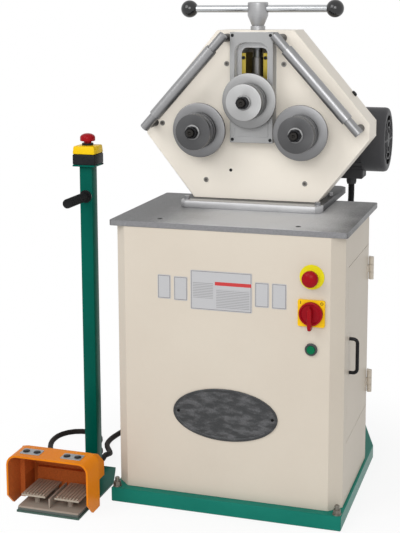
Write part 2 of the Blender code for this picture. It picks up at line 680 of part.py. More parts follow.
def cut(obj, *cutters):
    """Take the cutters away from an object."""
    for cutter in cutters:
        combine(obj, cutter, "DIFFERENCE")
    return obj


def join(obj, *others):
    """Weld other shapes onto an object."""
    for other in others:
        combine(obj, other, "UNION")
    return obj


def bevel(obj, width, segments=1):
    """Break an object's sharp edges."""
    modifier = obj.modifiers.new("Bevel", "BEVEL")
    modifier.width = width
    modifier.segments = segments
    modifier.limit_method = "ANGLE"
    return obj


def linear_light(share):
    """Linear light of a screen colour's share of full white."""
    if share <= SCREEN_TOE_SHARE:
        return share / SCREEN_TOE_SLOPE
    return ((share + SCREEN_OFFSET) / (1 + SCREEN_OFFSET)) ** SCREEN_GAMMA


def finish(obj, look):
    """Give a finished piece its own material."""
    colour, roughness, metallic = look
    linear = [linear_light(level / SCREEN_WHITE) for level in colour]
    coat = bpy.data.materials.new(obj.name)
    coat.use_nodes = True
    shader = coat.node_tree.nodes["Principled BSDF"]
    shader.inputs["Base Color"].default_value = (*linear, 1.0)
    shader.inputs["Roughness"].default_value = roughness
    shader.inputs["Metallic"].default_value = metallic
    obj.data.materials.clear()
    obj.data.materials.append(coat)
    return obj


def hang(name, place, *pieces, carrier=None):
    """Hang pieces that move together on an empty that stands on their joint's axis."""
    axis = add_object(name, None, place)
    if carrier:
        attach(axis, carrier)
    for piece in pieces:
        attach(piece, axis)
    return axis


def attach(piece, carrier):
    """Parent a piece, and the shapes that cut it or join it, to its carrier where they stand."""
    piece.parent = carrier
    piece.matrix_parent_inverse = Matrix.Translation(carrier.location).inverted()
    for modifier in piece.modifiers:
        if modifier.type == "BOOLEAN":
            attach(modifier.object, carrier)


def arc(centre, radius, start_degrees, end_degrees, steps=SEGMENTS_ARC):
    """Points on an arc, both ends included."""
    points = []
    for step in range(steps + 1):
        angle = math.radians(start_degrees + (end_degrees - start_degrees) * step / steps)
        points.append((centre[0] + radius * math.cos(angle), centre[1] + radius * math.sin(angle)))
    return points


def rounded_rectangle(left, bottom, right, top, radius, steps=SEGMENTS_ARC):
    """Outline of a rectangle with four round corners."""
    return (arc((left + radius, bottom + radius), radius, 180, 270, steps)
            + arc((right - radius, bottom + radius), radius, 270, 360, steps)
            + arc((right - radius, top - radius), radius, 0, 90, steps)
            + arc((left + radius, top - radius), radius, 90, 180, steps))


def chamfered_rectangle(left, bottom, right, top, chamfer):
    """Outline of a rectangle with four 45-degree corners."""
    return [(left + chamfer, bottom), (right - chamfer, bottom), (right, bottom + chamfer),
            (right, top - chamfer), (right - chamfer, top), (left + chamfer, top),
            (left, top - chamfer), (left, bottom + chamfer)]


def arched(middle, half_width, bottom, top, radius):
    """Outline with square feet and round upper corners."""
    return ([(middle - half_width, bottom), (middle + half_width, bottom)]
            + arc((middle + half_width - radius, top - radius), radius, 0, 90)
            + arc((middle - half_width + radius, top - radius), radius, 90, 180))


def inset(outline, distance):
    """A convex outline, drawn anticlockwise, moved inwards by a wall's thickness."""
    moved = []
    count = len(outline)
    for index in range(count):
        before = Vector(outline[index - 1])
        here = Vector(outline[index])
        after = Vector(outline[(index + 1) % count])
        first = (here - before).normalized()
        second = (after - here).normalized()
        first_normal = Vector((-first.y, first.x))
        second_normal = Vector((-second.y, second.x))
        middle = (first_normal + second_normal).normalized()
        moved.append(tuple(here + middle * distance / middle.dot(first_normal)))
    return moved


def smooth_route(route, leaving, arriving, pitch):
    """Points an even pitch apart on a smooth curve through a route's points, which leaves the
    first point and arrives at the last one in the given directions."""
    knots = [Vector(point) for point in route]
    before = knots[1] - 2 * leaving * (knots[1] - knots[0]).length
    after = knots[-2] + 2 * arriving * (knots[-1] - knots[-2]).length
    knots = [before, *knots, after]
    fine = []
    for before, start, end, after in zip(knots, knots[1:], knots[2:], knots[3:]):
        for step in range(ROUTE_STEPS):
            t = step / ROUTE_STEPS
            fine.append(0.5 * (2 * start + (end - before) * t
                               + (2 * before - 5 * start + 4 * end - after) * t ** 2
                               + (3 * start - before - 3 * end + after) * t ** 3))
    fine.append(knots[-2])
    lengths = [0.0]
    for start, end in zip(fine, fine[1:]):
        lengths.append(lengths[-1] + (end - start).length)
    count = max(2, round(lengths[-1] / pitch))
    points = []
    cursor = 0
    for number in range(count + 1):
        target = lengths[-1] * number / count
        while cursor < len(lengths) - 2 and lengths[cursor + 1] < target:
            cursor += 1
        span = lengths[cursor + 1] - lengths[cursor]
        point = fine[cursor].lerp(fine[cursor + 1], (target - lengths[cursor]) / span)
        points.append((point.x, point.y, max(point.z, CABLE_REST_HEIGHT)))
    return points


def base_corner_outline():
    """Outline of the plinth, tapered at its rear corners."""
    half_width = BASE_WIDTH / 2
    half_depth = BASE_DEPTH / 2
    taper_start = half_depth - BASE_TAPER_LENGTH
    rear_half = half_width - BASE_TAPER_INSET
    return [(-half_width, -half_depth), (half_width, -half_depth), (half_width, taper_start),
            (rear_half, half_depth), (-rear_half, half_depth), (-half_width, taper_start)]


def anchor_stud(x, y):
    """Washer, nut and threaded end of one anchor stud that stands in the plinth."""
    nut_foot = BASE_HEIGHT + STUD_WASHER_THICKNESS
    washer = rod("stud_washer", (x, y, BASE_HEIGHT - GAP), (x, y, nut_foot), STUD_WASHER_RADIUS,
                 SEGMENTS_SMALL)
    nut = rod("stud_nut", (x, y, nut_foot - GAP), (x, y, nut_foot + STUD_NUT_HEIGHT),
              STUD_NUT_ACROSS_CORNERS / 2, HEX_SIDES)
    shank = turned("stud_shank", [
        (0, STUD_HEIGHT), (STUD_RADIUS - STUD_TIP_CHAMFER, STUD_HEIGHT),
        (STUD_RADIUS, STUD_HEIGHT - STUD_TIP_CHAMFER), (STUD_RADIUS, STUD_WASHER_THICKNESS),
        (0, STUD_WASHER_THICKNESS)], (x, y, BASE_HEIGHT), (0, 0, 1), SEGMENTS_SMALL)
    return washer, nut, shank


def build_base():
    """The green plinth under the cabinet, with its four anchor studs."""
    frame = plate("base_frame", [base_corner_outline()], "XY", 0, BASE_HEIGHT)
    bevel(frame, BASE_EDGE_BEVEL)
    front = BASE_FRONT_Y + STUD_FRONT_MARGIN
    rear = BASE_DEPTH / 2 - STUD_REAR_MARGIN
    side = BASE_WIDTH / 2 - STUD_SIDE_MARGIN
    rear_side = BASE_WIDTH / 2 - BASE_TAPER_INSET - STUD_REAR_SIDE_MARGIN
    for x, y in ((-side, front), (side, front), (-rear_side, rear), (rear_side, rear)):
        join(frame, *anchor_stud(x, y))
    finish(frame, GREEN_PAINT)


def gland(origin, direction, radius, length):
    """A cable gland: body and tapered nose, sunk a little in the wall that carries it."""
    return turned("gland", [
        (0, length), (radius * GLAND_NOSE_SHARE, length), (radius, length * GLAND_SHOULDER_SHARE),
        (radius, -GAP), (0, -GAP)], origin, direction, SEGMENTS_SMALL)


def build_cabinet():
    """The folded sheet cabinet: a tube with chamfered corners, a doorway on its right and two
    cable glands on its rear wall."""
    outline = chamfered_rectangle(-CABINET_SIDE_X, CABINET_FRONT_Y, CABINET_SIDE_X,
                                  CABINET_REAR_Y, CABINET_CORNER_CHAMFER)
    shell = plate("cabinet_shell", [outline, inset(outline, CABINET_SHEET)], "XY",
                  CABINET_BOTTOM_Z, CABINET_TOP_Z)
    doorway = box("doorway", (CABINET_SIDE_X - CABINET_SHEET - OVERRUN, DOOR_FRONT_Y, DOOR_BOTTOM),
                  (CABINET_SIDE_X + OVERRUN, DOOR_REAR_Y, DOOR_TOP_Z))
    cut(shell, doorway)
    join(shell,
         gland((CABINET_GLAND_X, CABINET_REAR_Y, CABINET_GLAND_HEIGHT), (0, 1, 0),
               CABLE_GLAND_RADIUS, CABLE_GLAND_LENGTH),
         gland((CONDUIT_X, CABINET_REAR_Y, CONDUIT_ENTRY_Z), (0, 1, 0),
               CONDUIT_GLAND_RADIUS, CONDUIT_GLAND_LENGTH))
    finish(shell, CREAM_PAINT)


def door_hinge(name, middle_z, door_rear_y):
    """One hinge: the pin with its frame leaves, and the door's leaf with its knuckle."""
    third = HINGE_LENGTH / 3
    half = HINGE_LENGTH / 2
    low_x = CABINET_SIDE_X + GAP
    high_x = low_x + HINGE_LEAF_THICKNESS
    axis = (HINGE_AXIS_X, HINGE_AXIS_Y, middle_z)
    bore = HINGE_PIN_RADIUS + GAP
    inner = third / 2 - GAP
    outer = third / 2 + GAP
    knuckle = turned("knuckle", [
        (HINGE_KNUCKLE_RADIUS, inner), (HINGE_KNUCKLE_RADIUS, -inner), (bore, -inner),
        (bore, inner)], axis, (0, 0, 1), SEGMENTS_MEDIUM, ring=True)
    leaf = box("door_leaf", (low_x, door_rear_y - HINGE_LEAF_WIDTH, middle_z - inner),
               (high_x, HINGE_AXIS_Y, middle_z + inner))
    pad = box("door_leaf_pad",
              (CABINET_SIDE_X - CABINET_SHEET / 2, door_rear_y - HINGE_LEAF_WIDTH + GAP,
               middle_z - inner + GAP),
              (high_x - GAP, door_rear_y - GAP, middle_z + inner - GAP))
    pin = turned(name, [
        (0, half), (HINGE_KNUCKLE_RADIUS, half), (HINGE_KNUCKLE_RADIUS, outer),
        (HINGE_PIN_RADIUS, outer), (HINGE_PIN_RADIUS, -outer), (HINGE_KNUCKLE_RADIUS, -outer),
        (HINGE_KNUCKLE_RADIUS, -half), (0, -half)], axis, (0, 0, 1), SEGMENTS_MEDIUM)
    for low, high in ((outer, half), (-half, -outer)):
        join(pin, box("frame_leaf", (low_x, HINGE_AXIS_Y, middle_z + low),
                      (high_x, HINGE_AXIS_Y + HINGE_LEAF_WIDTH, middle_z + high)))
    finish(pin, ZINC)
    return pad, leaf, knuckle


def door_pull():
    """The bow pull: a bent round bar with both feet on the door."""
    y = DOOR_FRONT_Y + PULL_FRONT_MARGIN
    root_x = CABINET_SIDE_X + GAP
    bar_x = root_x + PULL_STANDOFF - PULL_RADIUS
    low = PULL_MIDDLE_HEIGHT - PULL_LENGTH / 2 + PULL_RADIUS
    high = PULL_MIDDLE_HEIGHT + PULL_LENGTH / 2 - PULL_RADIUS
    bend_x = bar_x - PULL_CORNER_RADIUS
    bends = (arc((bend_x, low + PULL_CORNER_RADIUS), PULL_CORNER_RADIUS, 270, 360)
             + arc((bend_x, high - PULL_CORNER_RADIUS), PULL_CORNER_RADIUS, 0, 90))
    path = [(root_x, y, low), *((x, y, z) for x, z in bends), (root_x, y, high)]
    return tube("door_pull", path, PULL_RADIUS)


def build_door():
    """The door: a flush panel with folded lips, hung on two barrel hinges at its rear edge."""
    low_y = DOOR_FRONT_Y + DOOR_SEAM
    high_y = DOOR_REAR_Y - DOOR_SEAM
    low_z = DOOR_BOTTOM + DOOR_SEAM
    high_z = DOOR_TOP_Z - DOOR_SEAM
    inner_x = CABINET_SIDE_X - DOOR_LIP_DEPTH
    door = box("cabinet_door", (inner_x, low_y, low_z), (CABINET_SIDE_X, high_y, high_z))
    pocket = box("door_pocket",
                 (inner_x - OVERRUN, low_y + CABINET_SHEET, low_z + CABINET_SHEET),
                 (CABINET_SIDE_X - CABINET_SHEET, high_y - CABINET_SHEET, high_z - CABINET_SHEET))
    cut(door, pocket)
    upper_z = DOOR_TOP_Z - HINGE_END_MARGIN - HINGE_LENGTH / 2
    lower_z = DOOR_BOTTOM + HINGE_END_MARGIN + HINGE_LENGTH / 2
    for name, middle_z in (("door_hinge_upper", upper_z), ("door_hinge_lower", lower_z)):
        join(door, *door_hinge(name, middle_z, high_y))
    finish(door, CREAM_PAINT)
    pull = finish(door_pull(), BLACK_PLASTIC)
    hang("door_axis", (HINGE_AXIS_X, HINGE_AXIS_Y, (upper_z + lower_z) / 2), door, pull)


def build_table():
    """The steel table plate on the cabinet."""
    half = TABLE_WIDTH / 2
    outline = rounded_rectangle(-half, TABLE_FRONT_Y, half, TABLE_FRONT_Y + TABLE_DEPTH,
                                TABLE_CORNER_RADIUS, SEGMENTS_CORNER)
    top = plate("table_plate", [outline], "XY", CABINET_TOP_Z + GAP, TABLE_TOP_Z)
    finish(bevel(top, TABLE_EDGE_BEVEL), TABLE_STEEL)


def build_switchgear():
    """The mounting plate on the cabinet's rear wall, with its rail and contactors."""
    rear = CABINET_REAR_Y - CABINET_SHEET - GAP
    board_rear = rear - SWITCHGEAR_SPACER_LENGTH
    board_front = board_rear - SWITCHGEAR_PLATE_THICKNESS
    half = SWITCHGEAR_PLATE_WIDTH / 2
    low = SWITCHGEAR_PLATE_BOTTOM
    high = low + SWITCHGEAR_PLATE_HEIGHT
    board = box("switchgear_plate", (-half, board_front, low), (half, board_rear, high))
    margin = SWITCHGEAR_SPACER_RADIUS * 2
    for x in (-half + margin, half - margin):
        for z in (low + margin, high - margin):
            join(board, rod("spacer", (x, board_front + GAP, z), (x, rear, z),
                            SWITCHGEAR_SPACER_RADIUS, SEGMENTS_SMALL))
    rail_front = board_front - SWITCHGEAR_RAIL_DEPTH
    rail_z = high - CONTACTOR_HEIGHT
    rail = box("rail", (-half + margin * 2, rail_front, rail_z - SWITCHGEAR_RAIL_HEIGHT / 2),
               (half - margin * 2, board_front + GAP, rail_z + SWITCHGEAR_RAIL_HEIGHT / 2))
    join(board, rail)
    back = rail_front + GAP
    first = -CONTACTOR_PITCH * (CONTACTOR_COUNT - 1) / 2
    for number in range(CONTACTOR_COUNT):
        left = first + CONTACTOR_PITCH * number - CONTACTOR_WIDTH / 2
        profile = [
            (back, rail_z - CONTACTOR_HEIGHT / 2), (back, rail_z + CONTACTOR_HEIGHT / 2),
            (back - CONTACTOR_DEPTH + CONTACTOR_STEP, rail_z + CONTACTOR_HEIGHT / 2),
            (back - CONTACTOR_DEPTH + CONTACTOR_STEP, rail_z + CONTACTOR_HEIGHT / 4),
            (back - CONTACTOR_DEPTH, rail_z + CONTACTOR_HEIGHT / 4),
            (back - CONTACTOR_DEPTH, rail_z - CONTACTOR_HEIGHT / 4),
            (back - CONTACTOR_DEPTH + CONTACTOR_STEP, rail_z - CONTACTOR_HEIGHT / 4),
            (back - CONTACTOR_DEPTH + CONTACTOR_STEP, rail_z - CONTACTOR_HEIGHT / 2)]
        join(board, plate("contactor", [profile], "YZ", left, left + CONTACTOR_WIDTH))
    finish(board, ZINC)


def mushroom(name, origin, direction, stem_length):
    """A mushroom button: domed head on a stem that slides in its collar."""
    rim = MUSHROOM_LENGTH * MUSHROOM_RIM_SHARE
    dome = [(MUSHROOM_RADIUS * x, rim + (MUSHROOM_LENGTH - rim) * z)
            for x, z in reversed(arc((0, 0), 1, 0, 90))]
    dome[0] = (0, MUSHROOM_LENGTH)
    profile = dome + [(MUSHROOM_RADIUS * MUSHROOM_UNDERSIDE_SHARE, 0), (MUSHROOM_STEM_RADIUS, 0),
                      (MUSHROOM_STEM_RADIUS, -stem_length), (0, -stem_length)]
    return turned(name, profile, origin, direction, SEGMENTS_MEDIUM)


def build_emergency_stop(face):
    """Yellow disc with its collar, and the red mushroom that slides in it."""
    front = (0, -1, 0)
    bore = MUSHROOM_STEM_RADIUS + GAP
    collar_front = ESTOP_DISC_THICKNESS + ESTOP_COLLAR_LENGTH
    finish(turned("estop_collar", [
        (ESTOP_COLLAR_RADIUS, collar_front), (ESTOP_COLLAR_RADIUS, ESTOP_DISC_THICKNESS),
        (ESTOP_DISC_RADIUS, ESTOP_DISC_THICKNESS), (ESTOP_DISC_RADIUS, 0), (bore, 0),
        (bore, collar_front)], (CONTROLS_X, face, ESTOP_HEIGHT), front, SEGMENTS_MEDIUM, ring=True),
        YELLOW_PLASTIC)
    place = (CONTROLS_X, face - collar_front - MUSHROOM_TRAVEL - GAP, ESTOP_HEIGHT)
    button = finish(mushroom("estop_button", place, front, ESTOP_COLLAR_LENGTH), RED_PLASTIC)
    hang("estop_axis", place, button)


def build_main_switch(face):
    """Square plate of the main switch and its rotary handle with a wedge grip."""
    half = MAIN_SWITCH_SIDE / 2
    square = rounded_rectangle(CONTROLS_X - half, MAIN_SWITCH_HEIGHT - half, CONTROLS_X + half,
                               MAIN_SWITCH_HEIGHT + half, MAIN_SWITCH_CORNER_RADIUS, SEGMENTS_CORNER)
    plate_front = face - MAIN_SWITCH_PLATE_THICKNESS
    finish(plate("main_switch_plate", [square], "XZ", plate_front, face), YELLOW_PLASTIC)
    centre = (CONTROLS_X, plate_front - GAP, MAIN_SWITCH_HEIGHT)
    handle = turned("main_switch_handle", [
        (0, MAIN_SWITCH_DISC_THICKNESS),
        (MAIN_SWITCH_DISC_RADIUS * MAIN_SWITCH_EDGE_SHARE, MAIN_SWITCH_DISC_THICKNESS),
        (MAIN_SWITCH_DISC_RADIUS, MAIN_SWITCH_DISC_THICKNESS * MAIN_SWITCH_RIM_SHARE),
        (MAIN_SWITCH_DISC_RADIUS, 0), (0, 0)], centre, (0, -1, 0))
    broad = MAIN_SWITCH_GRIP_WIDTH / 2
    narrow = MAIN_SWITCH_GRIP_TIP_WIDTH / 2
    top = MAIN_SWITCH_HEIGHT + MAIN_SWITCH_GRIP_LENGTH * MAIN_SWITCH_GRIP_TOP_SHARE
    shoulder = MAIN_SWITCH_HEIGHT - MAIN_SWITCH_GRIP_LENGTH * MAIN_SWITCH_GRIP_SHOULDER_SHARE
    tip = MAIN_SWITCH_HEIGHT - MAIN_SWITCH_GRIP_LENGTH * (1 - MAIN_SWITCH_GRIP_TOP_SHARE)
    wedge = [(CONTROLS_X, tip), (CONTROLS_X + narrow, shoulder), (CONTROLS_X + broad, top),
             (CONTROLS_X - broad, top), (CONTROLS_X - narrow, shoulder)]
    disc_front = centre[1] - MAIN_SWITCH_DISC_THICKNESS
    grip = plate("switch_grip", [wedge], "XZ", disc_front - MAIN_SWITCH_GRIP_HEIGHT,
                 disc_front + MAIN_SWITCH_DISC_THICKNESS / 2)
    finish(join(handle, grip), RED_PLASTIC)
    hang("main_switch_axis", centre, handle)


def build_start_button(face):
    """Bezel and push button that starts the motor."""
    origin = (CONTROLS_X, face, START_BUTTON_HEIGHT)
    finish(turned("start_button_bezel", [
        (START_BEZEL_RADIUS * START_BEZEL_EDGE_SHARE, START_BEZEL_LENGTH), (START_BEZEL_RADIUS, 0),
        (START_BEZEL_BORE_RADIUS, 0), (START_BEZEL_BORE_RADIUS, START_BEZEL_LENGTH)],
        origin, (0, -1, 0), SEGMENTS_MEDIUM, ring=True), GREY_PLASTIC)
    top = START_BEZEL_LENGTH + START_BUTTON_PROUD
    foot = START_BUTTON_TRAVEL + GAP
    radius = START_BEZEL_BORE_RADIUS - GAP
    button = turned("start_button", [
        (0, top), (radius * START_BUTTON_EDGE_SHARE, top), (radius, top * START_BUTTON_EDGE_SHARE),
        (radius, foot), (0, foot)], origin, (0, -1, 0), SEGMENTS_MEDIUM)
    hang("start_button_axis", origin, finish(button, GREEN_PLASTIC))


def build_controls():
    """The three control devices on the cabinet's front."""
    face = CABINET_FRONT_Y - GAP
    build_emergency_stop(face)
    build_main_switch(face)
    build_start_button(face)


def head_bolt(x, y, foot):
    """Washer and hexagon head of one bolt of the head's base plate."""
    top = foot + HEAD_BOLT_WASHER_THICKNESS
    washer = rod("bolt_washer", (x, y, foot - GAP), (x, y, top), HEAD_BOLT_WASHER_RADIUS,
                 SEGMENTS_SMALL)
    head = rod("bolt_head", (x, y, top - GAP), (x, y, top + HEAD_BOLT_HEIGHT),
               HEAD_BOLT_ACROSS_CORNERS / 2, HEX_SIDES)
    return washer, head


def build_head_base():
    """Base plate of the head, with the four bolts that hold it to the table."""
    half = HEAD_BASE_WIDTH / 2
    top_z = HEAD_BASE_BOTTOM_Z + HEAD_BASE_THICKNESS
    outline = chamfered_rectangle(-half, HEAD_BASE_FRONT_Y, half,
                                  HEAD_BASE_FRONT_Y + HEAD_BASE_DEPTH, HEAD_BASE_CORNER_CHAMFER)
    foot = plate("head_base_plate", [outline], "XY", HEAD_BASE_BOTTOM_Z, top_z)
    bevel(foot, HEAD_EDGE_BEVEL)
    bolt_x = half - HEAD_BOLT_SIDE_MARGIN
    front = HEAD_BASE_FRONT_Y + HEAD_BOLT_FRONT_MARGIN
    for y in (front, front + HEAD_BOLT_PITCH):
        for x in (-bolt_x, bolt_x):
            join(foot, *head_bolt(x, y, top_z))
    finish(foot, TABLE_STEEL)


def head_outline():
    """The head's eight-sided outline in the XZ plane."""
    right = [(HEAD_FOOT_HALF_WIDTH, HEAD_FOOT_Z), (HEAD_HALF_WIDTH, HEAD_FOOT_Z + HEAD_SIDE_BOTTOM),
             (HEAD_HALF_WIDTH, HEAD_FOOT_Z + HEAD_SIDE_TOP), (HEAD_TOP_HALF_WIDTH, HEAD_TOP_Z)]
    return right + [(-x, z) for x, z in reversed(right)]


def build_head_shell():
    """Front plate and welded housing of the head, bored for bearings, slide, screw and shaft."""
    front_rear = HEAD_FRONT_Y + HEAD_FRONT_PLATE_THICKNESS
    front = plate("head_front_plate", [head_outline()], "XZ", HEAD_FRONT_Y, front_rear)
    bevel(front, HEAD_EDGE_BEVEL)
    slot_half = GUIDE_BODY_HALF_WIDTH + GAP
    cut(front, box("guide_slot",
                   (-slot_half, HEAD_FRONT_Y - OVERRUN, GUIDE_BODY_BOTTOM_Z - GAP),
                   (slot_half, front_rear + OVERRUN, GUIDE_BODY_TOP_Z + GAP)))
    housing = plate("head_housing", [head_outline()], "XZ", HEAD_HOUSING_FRONT_Y, HEAD_REAR_Y)
    inner_rear = HEAD_REAR_Y - HEAD_REAR_PLATE_THICKNESS
    cut(housing, plate("head_cavity", [inset(head_outline(), HEAD_SHEET)], "XZ",
                       HEAD_HOUSING_FRONT_Y - OVERRUN, inner_rear))
    for x in (-LOWER_ROLL_X, LOWER_ROLL_X):
        cut(front, rod("barrel_bore", (x, HEAD_FRONT_Y - OVERRUN, LOWER_ROLL_Z),
                       (x, front_rear + OVERRUN, LOWER_ROLL_Z), BEARING_BARREL_RADIUS + GAP,
                       SEGMENTS_LARGE))
        join(housing, rod("bearing_cap", (x, HEAD_REAR_Y - GAP, LOWER_ROLL_Z),
                          (x, HEAD_REAR_Y + BEARING_FLANGE_THICKNESS, LOWER_ROLL_Z),
                          BEARING_FLANGE_RADIUS, SEGMENTS_LARGE))
        cut(housing, rod("rear_bearing_bore", (x, inner_rear - OVERRUN, LOWER_ROLL_Z),
                         (x, HEAD_REAR_Y + BEARING_CAP_DEPTH + GAP, LOWER_ROLL_Z),
                         SPINDLE_JOURNAL_RADIUS + GAP))
    cut(housing, rod("shaft_hole", (0, inner_rear - OVERRUN, LOWER_ROLL_Z),
                     (0, HEAD_REAR_Y + OVERRUN, LOWER_ROLL_Z), HEAD_SHAFT_HOLE_RADIUS))
    cut(housing, rod("screw_hole", (0, SCREW_Y, HEAD_TOP_Z - HEAD_SHEET - OVERRUN),
                     (0, SCREW_Y, HEAD_TOP_Z + OVERRUN), HEAD_SCREW_HOLE_RADIUS))
    finish(front, CREAM_PAINT)
    finish(housing, CREAM_PAINT)


def build_slide_frames():
    """Thick slide frame with its arched window, and the guide frame set into the head."""
    half = SLIDE_FRAME_WIDTH / 2
    outline = [(-half, SLIDE_FRAME_BOTTOM_Z), (half, SLIDE_FRAME_BOTTOM_Z),
               (half, SLIDE_FRAME_TOP_Z), (-half, SLIDE_FRAME_TOP_Z)]
    window = arched(0, SLIDE_WINDOW_HALF_WIDTH, SLIDE_FRAME_BOTTOM_Z + SLIDE_WINDOW_BOTTOM_MARGIN,
                    SLIDE_FRAME_TOP_Z - SLIDE_WINDOW_TOP_MARGIN, SLIDE_WINDOW_ARCH_RADIUS)
    frame = plate("slide_frame", [outline, window], "XZ", SLIDE_FRAME_FRONT_Y, GUIDE_FRONT_Y - GAP)
    finish(bevel(frame, SLIDE_FRAME_BEVEL), GROUND_STEEL)

    guide = plate("guide_frame", [outline], "XZ", GUIDE_FRONT_Y, HEAD_FRONT_Y - GAP)
    body = box("guide_body", (-GUIDE_BODY_HALF_WIDTH, GUIDE_FRONT_Y + GAP, GUIDE_BODY_BOTTOM_Z),
               (GUIDE_BODY_HALF_WIDTH, GUIDE_REAR_Y, GUIDE_BODY_TOP_Z))
    opening = plate("guide_window", [arched(0, GUIDE_WINDOW_HALF_WIDTH, GUIDE_WINDOW_BOTTOM_Z,
                                            GUIDE_WINDOW_TOP_Z, GUIDE_WINDOW_ARCH_RADIUS)],
                    "XZ", GUIDE_FRONT_Y - OVERRUN, GUIDE_REAR_Y + OVERRUN)
    screw_bore = rod("screw_bore", (0, SCREW_Y, GUIDE_WINDOW_TOP_Z - OVERRUN),
                     (0, SCREW_Y, GUIDE_BODY_TOP_Z + OVERRUN), SCREW_RADIUS + GAP)
    join(guide, body)
    finish(cut(guide, opening, screw_bore), GROUND_STEEL)

    inner = SLIDE_BLOCK_HALF_WIDTH + GAP
    outer = GUIDE_WINDOW_HALF_WIDTH - GAP
    for name, left, right in (("brass_gib_left", -outer, -inner),
                              ("brass_gib_right", inner, outer)):
        finish(box(name, (left, GUIDE_FRONT_Y, GUIDE_WINDOW_BOTTOM_Z + GAP),
                   (right, GUIDE_REAR_Y, GUIDE_WINDOW_TOP_Z - GUIDE_WINDOW_ARCH_RADIUS)), BRASS)


def build_slide_block():
    """The block that carries the top spindle, bored for the spindle and the screw."""
    block = box("slide_block", (-SLIDE_BLOCK_HALF_WIDTH, GUIDE_FRONT_Y, SLIDE_BLOCK_BOTTOM_Z),
                (SLIDE_BLOCK_HALF_WIDTH, GUIDE_REAR_Y, SLIDE_BLOCK_TOP_Z))
    spindle_bore = rod("spindle_bore", (0, GUIDE_FRONT_Y - OVERRUN, TOP_ROLL_Z),
                       (0, GUIDE_REAR_Y + OVERRUN, TOP_ROLL_Z), SPINDLE_JOURNAL_RADIUS + GAP)
    screw_bore = rod("screw_bore", (0, SCREW_Y, SCREW_BOTTOM_Z - SLIDE_UP_TRAVEL - SCREW_BORE_SPARE),
                     (0, SCREW_Y, SLIDE_BLOCK_TOP_Z + OVERRUN), SCREW_RADIUS + GAP)
    finish(cut(block, spindle_bore, screw_bore), DARK_STEEL)
    return hang("slide_axis", (0, SCREW_Y, TOP_ROLL_Z), block)


def ball_knob(name, x, towards):
    """A ball whose bore takes the end of the bar."""
    bore = BAR_RADIUS + GAP
    mouth_radius = bore + BALL_MOUTH_WALL
    mouth = math.sqrt(BALL_RADIUS ** 2 - mouth_radius ** 2)
    start = math.degrees(math.atan2(mouth, mouth_radius))
    shell = arc((0, 0), BALL_RADIUS, start, -90, 2 * SEGMENTS_ARC)
    shell[-1] = (0, -BALL_RADIUS)
    return turned(name, [(0, 0), (bore, 0), (bore, mouth), *shell], (x, SCREW_Y, BAR_Z),
                  (towards, 0, 0), SEGMENTS_MEDIUM)


def build_press_screw():
    """The screw that presses the slide down, with its hub, cross bar and ball knobs."""
    bore = SCREW_RADIUS + GAP
    hub_foot = HEAD_TOP_Z + GAP
    screw_top = hub_foot + SCREW_HUB_ENGAGEMENT - GAP - SCREW_BOTTOM_Z
    collar_top = GUIDE_WINDOW_TOP_Z - GAP - SCREW_BOTTOM_Z
    screw = turned("press_screw", [
        (0, screw_top), (SCREW_RADIUS, screw_top), (SCREW_RADIUS, collar_top),
        (SCREW_COLLAR_RADIUS, collar_top), (SCREW_COLLAR_RADIUS, collar_top - SCREW_COLLAR_THICKNESS),
        (SCREW_RADIUS, collar_top - SCREW_COLLAR_THICKNESS), (SCREW_RADIUS, SCREW_END_CHAMFER),
        (SCREW_RADIUS - SCREW_END_CHAMFER, 0), (0, 0)],
        (0, SCREW_Y, SCREW_BOTTOM_Z), (0, 0, 1), SEGMENTS_MEDIUM)
    finish(screw, DARK_STEEL)

    top = HUB_TOP_Z - hub_foot
    cone_top = top - HUB_LENGTH
    cone_foot = cone_top - HUB_CONE_LENGTH
    hub = turned("handle_hub", [
        (0, top), (HUB_RADIUS - HUB_EDGE, top), (HUB_RADIUS, top - HUB_EDGE), (HUB_RADIUS, cone_top),
        (HUB_NECK_RADIUS, cone_foot), (HUB_COLLAR_RADIUS, cone_foot), (HUB_COLLAR_RADIUS, 0),
        (bore, 0), (bore, SCREW_HUB_ENGAGEMENT), (0, SCREW_HUB_ENGAGEMENT)],
        (0, SCREW_Y, hub_foot), (0, 0, 1))
    cross_hole = rod("cross_hole", (-HUB_RADIUS - OVERRUN, SCREW_Y, BAR_Z),
                     (HUB_RADIUS + OVERRUN, SCREW_Y, BAR_Z), BAR_RADIUS + GAP)
    finish(cut(hub, cross_hole), GROUND_STEEL)

    half = BALL_SPACING / 2
    bar = rod("handle_bar", (BAR_SHIFT - half + GAP, SCREW_Y, BAR_Z),
              (BAR_SHIFT + half - GAP, SCREW_Y, BAR_Z), BAR_RADIUS)
    finish(bar, GROUND_STEEL)
    left = finish(ball_knob("ball_knob_left", BAR_SHIFT - half, 1), BLACK_PLASTIC)
    right = finish(ball_knob("ball_knob_right", BAR_SHIFT + half, -1), BLACK_PLASTIC)
    hang("press_screw_axis", (0, SCREW_Y, HEAD_TOP_Z), screw, hub, bar, left, right)


def gear_outline(centre, teeth, turn_share):
    """Outline of a spur gear with straight-sided teeth, turned by a share of a tooth's pitch."""
    pitch_radius = GEAR_MODULE * teeth / 2
    tip = pitch_radius + GEAR_MODULE * GEAR_ADDENDUM_SHARE
    root = pitch_radius - GEAR_MODULE * GEAR_DEDENDUM_SHARE
    tooth_shape = ((root, -GEAR_ROOT_SHARE / 2), (tip, -GEAR_TIP_SHARE / 2),
                   (tip, GEAR_TIP_SHARE / 2), (root, GEAR_ROOT_SHARE / 2))
    outline = []
    for tooth in range(teeth):
        for radius, turn in tooth_shape:
            angle = math.tau * (tooth + turn_share + turn) / teeth
            outline.append((centre[0] + radius * math.cos(angle),
                            centre[1] + radius * math.sin(angle)))
    return outline


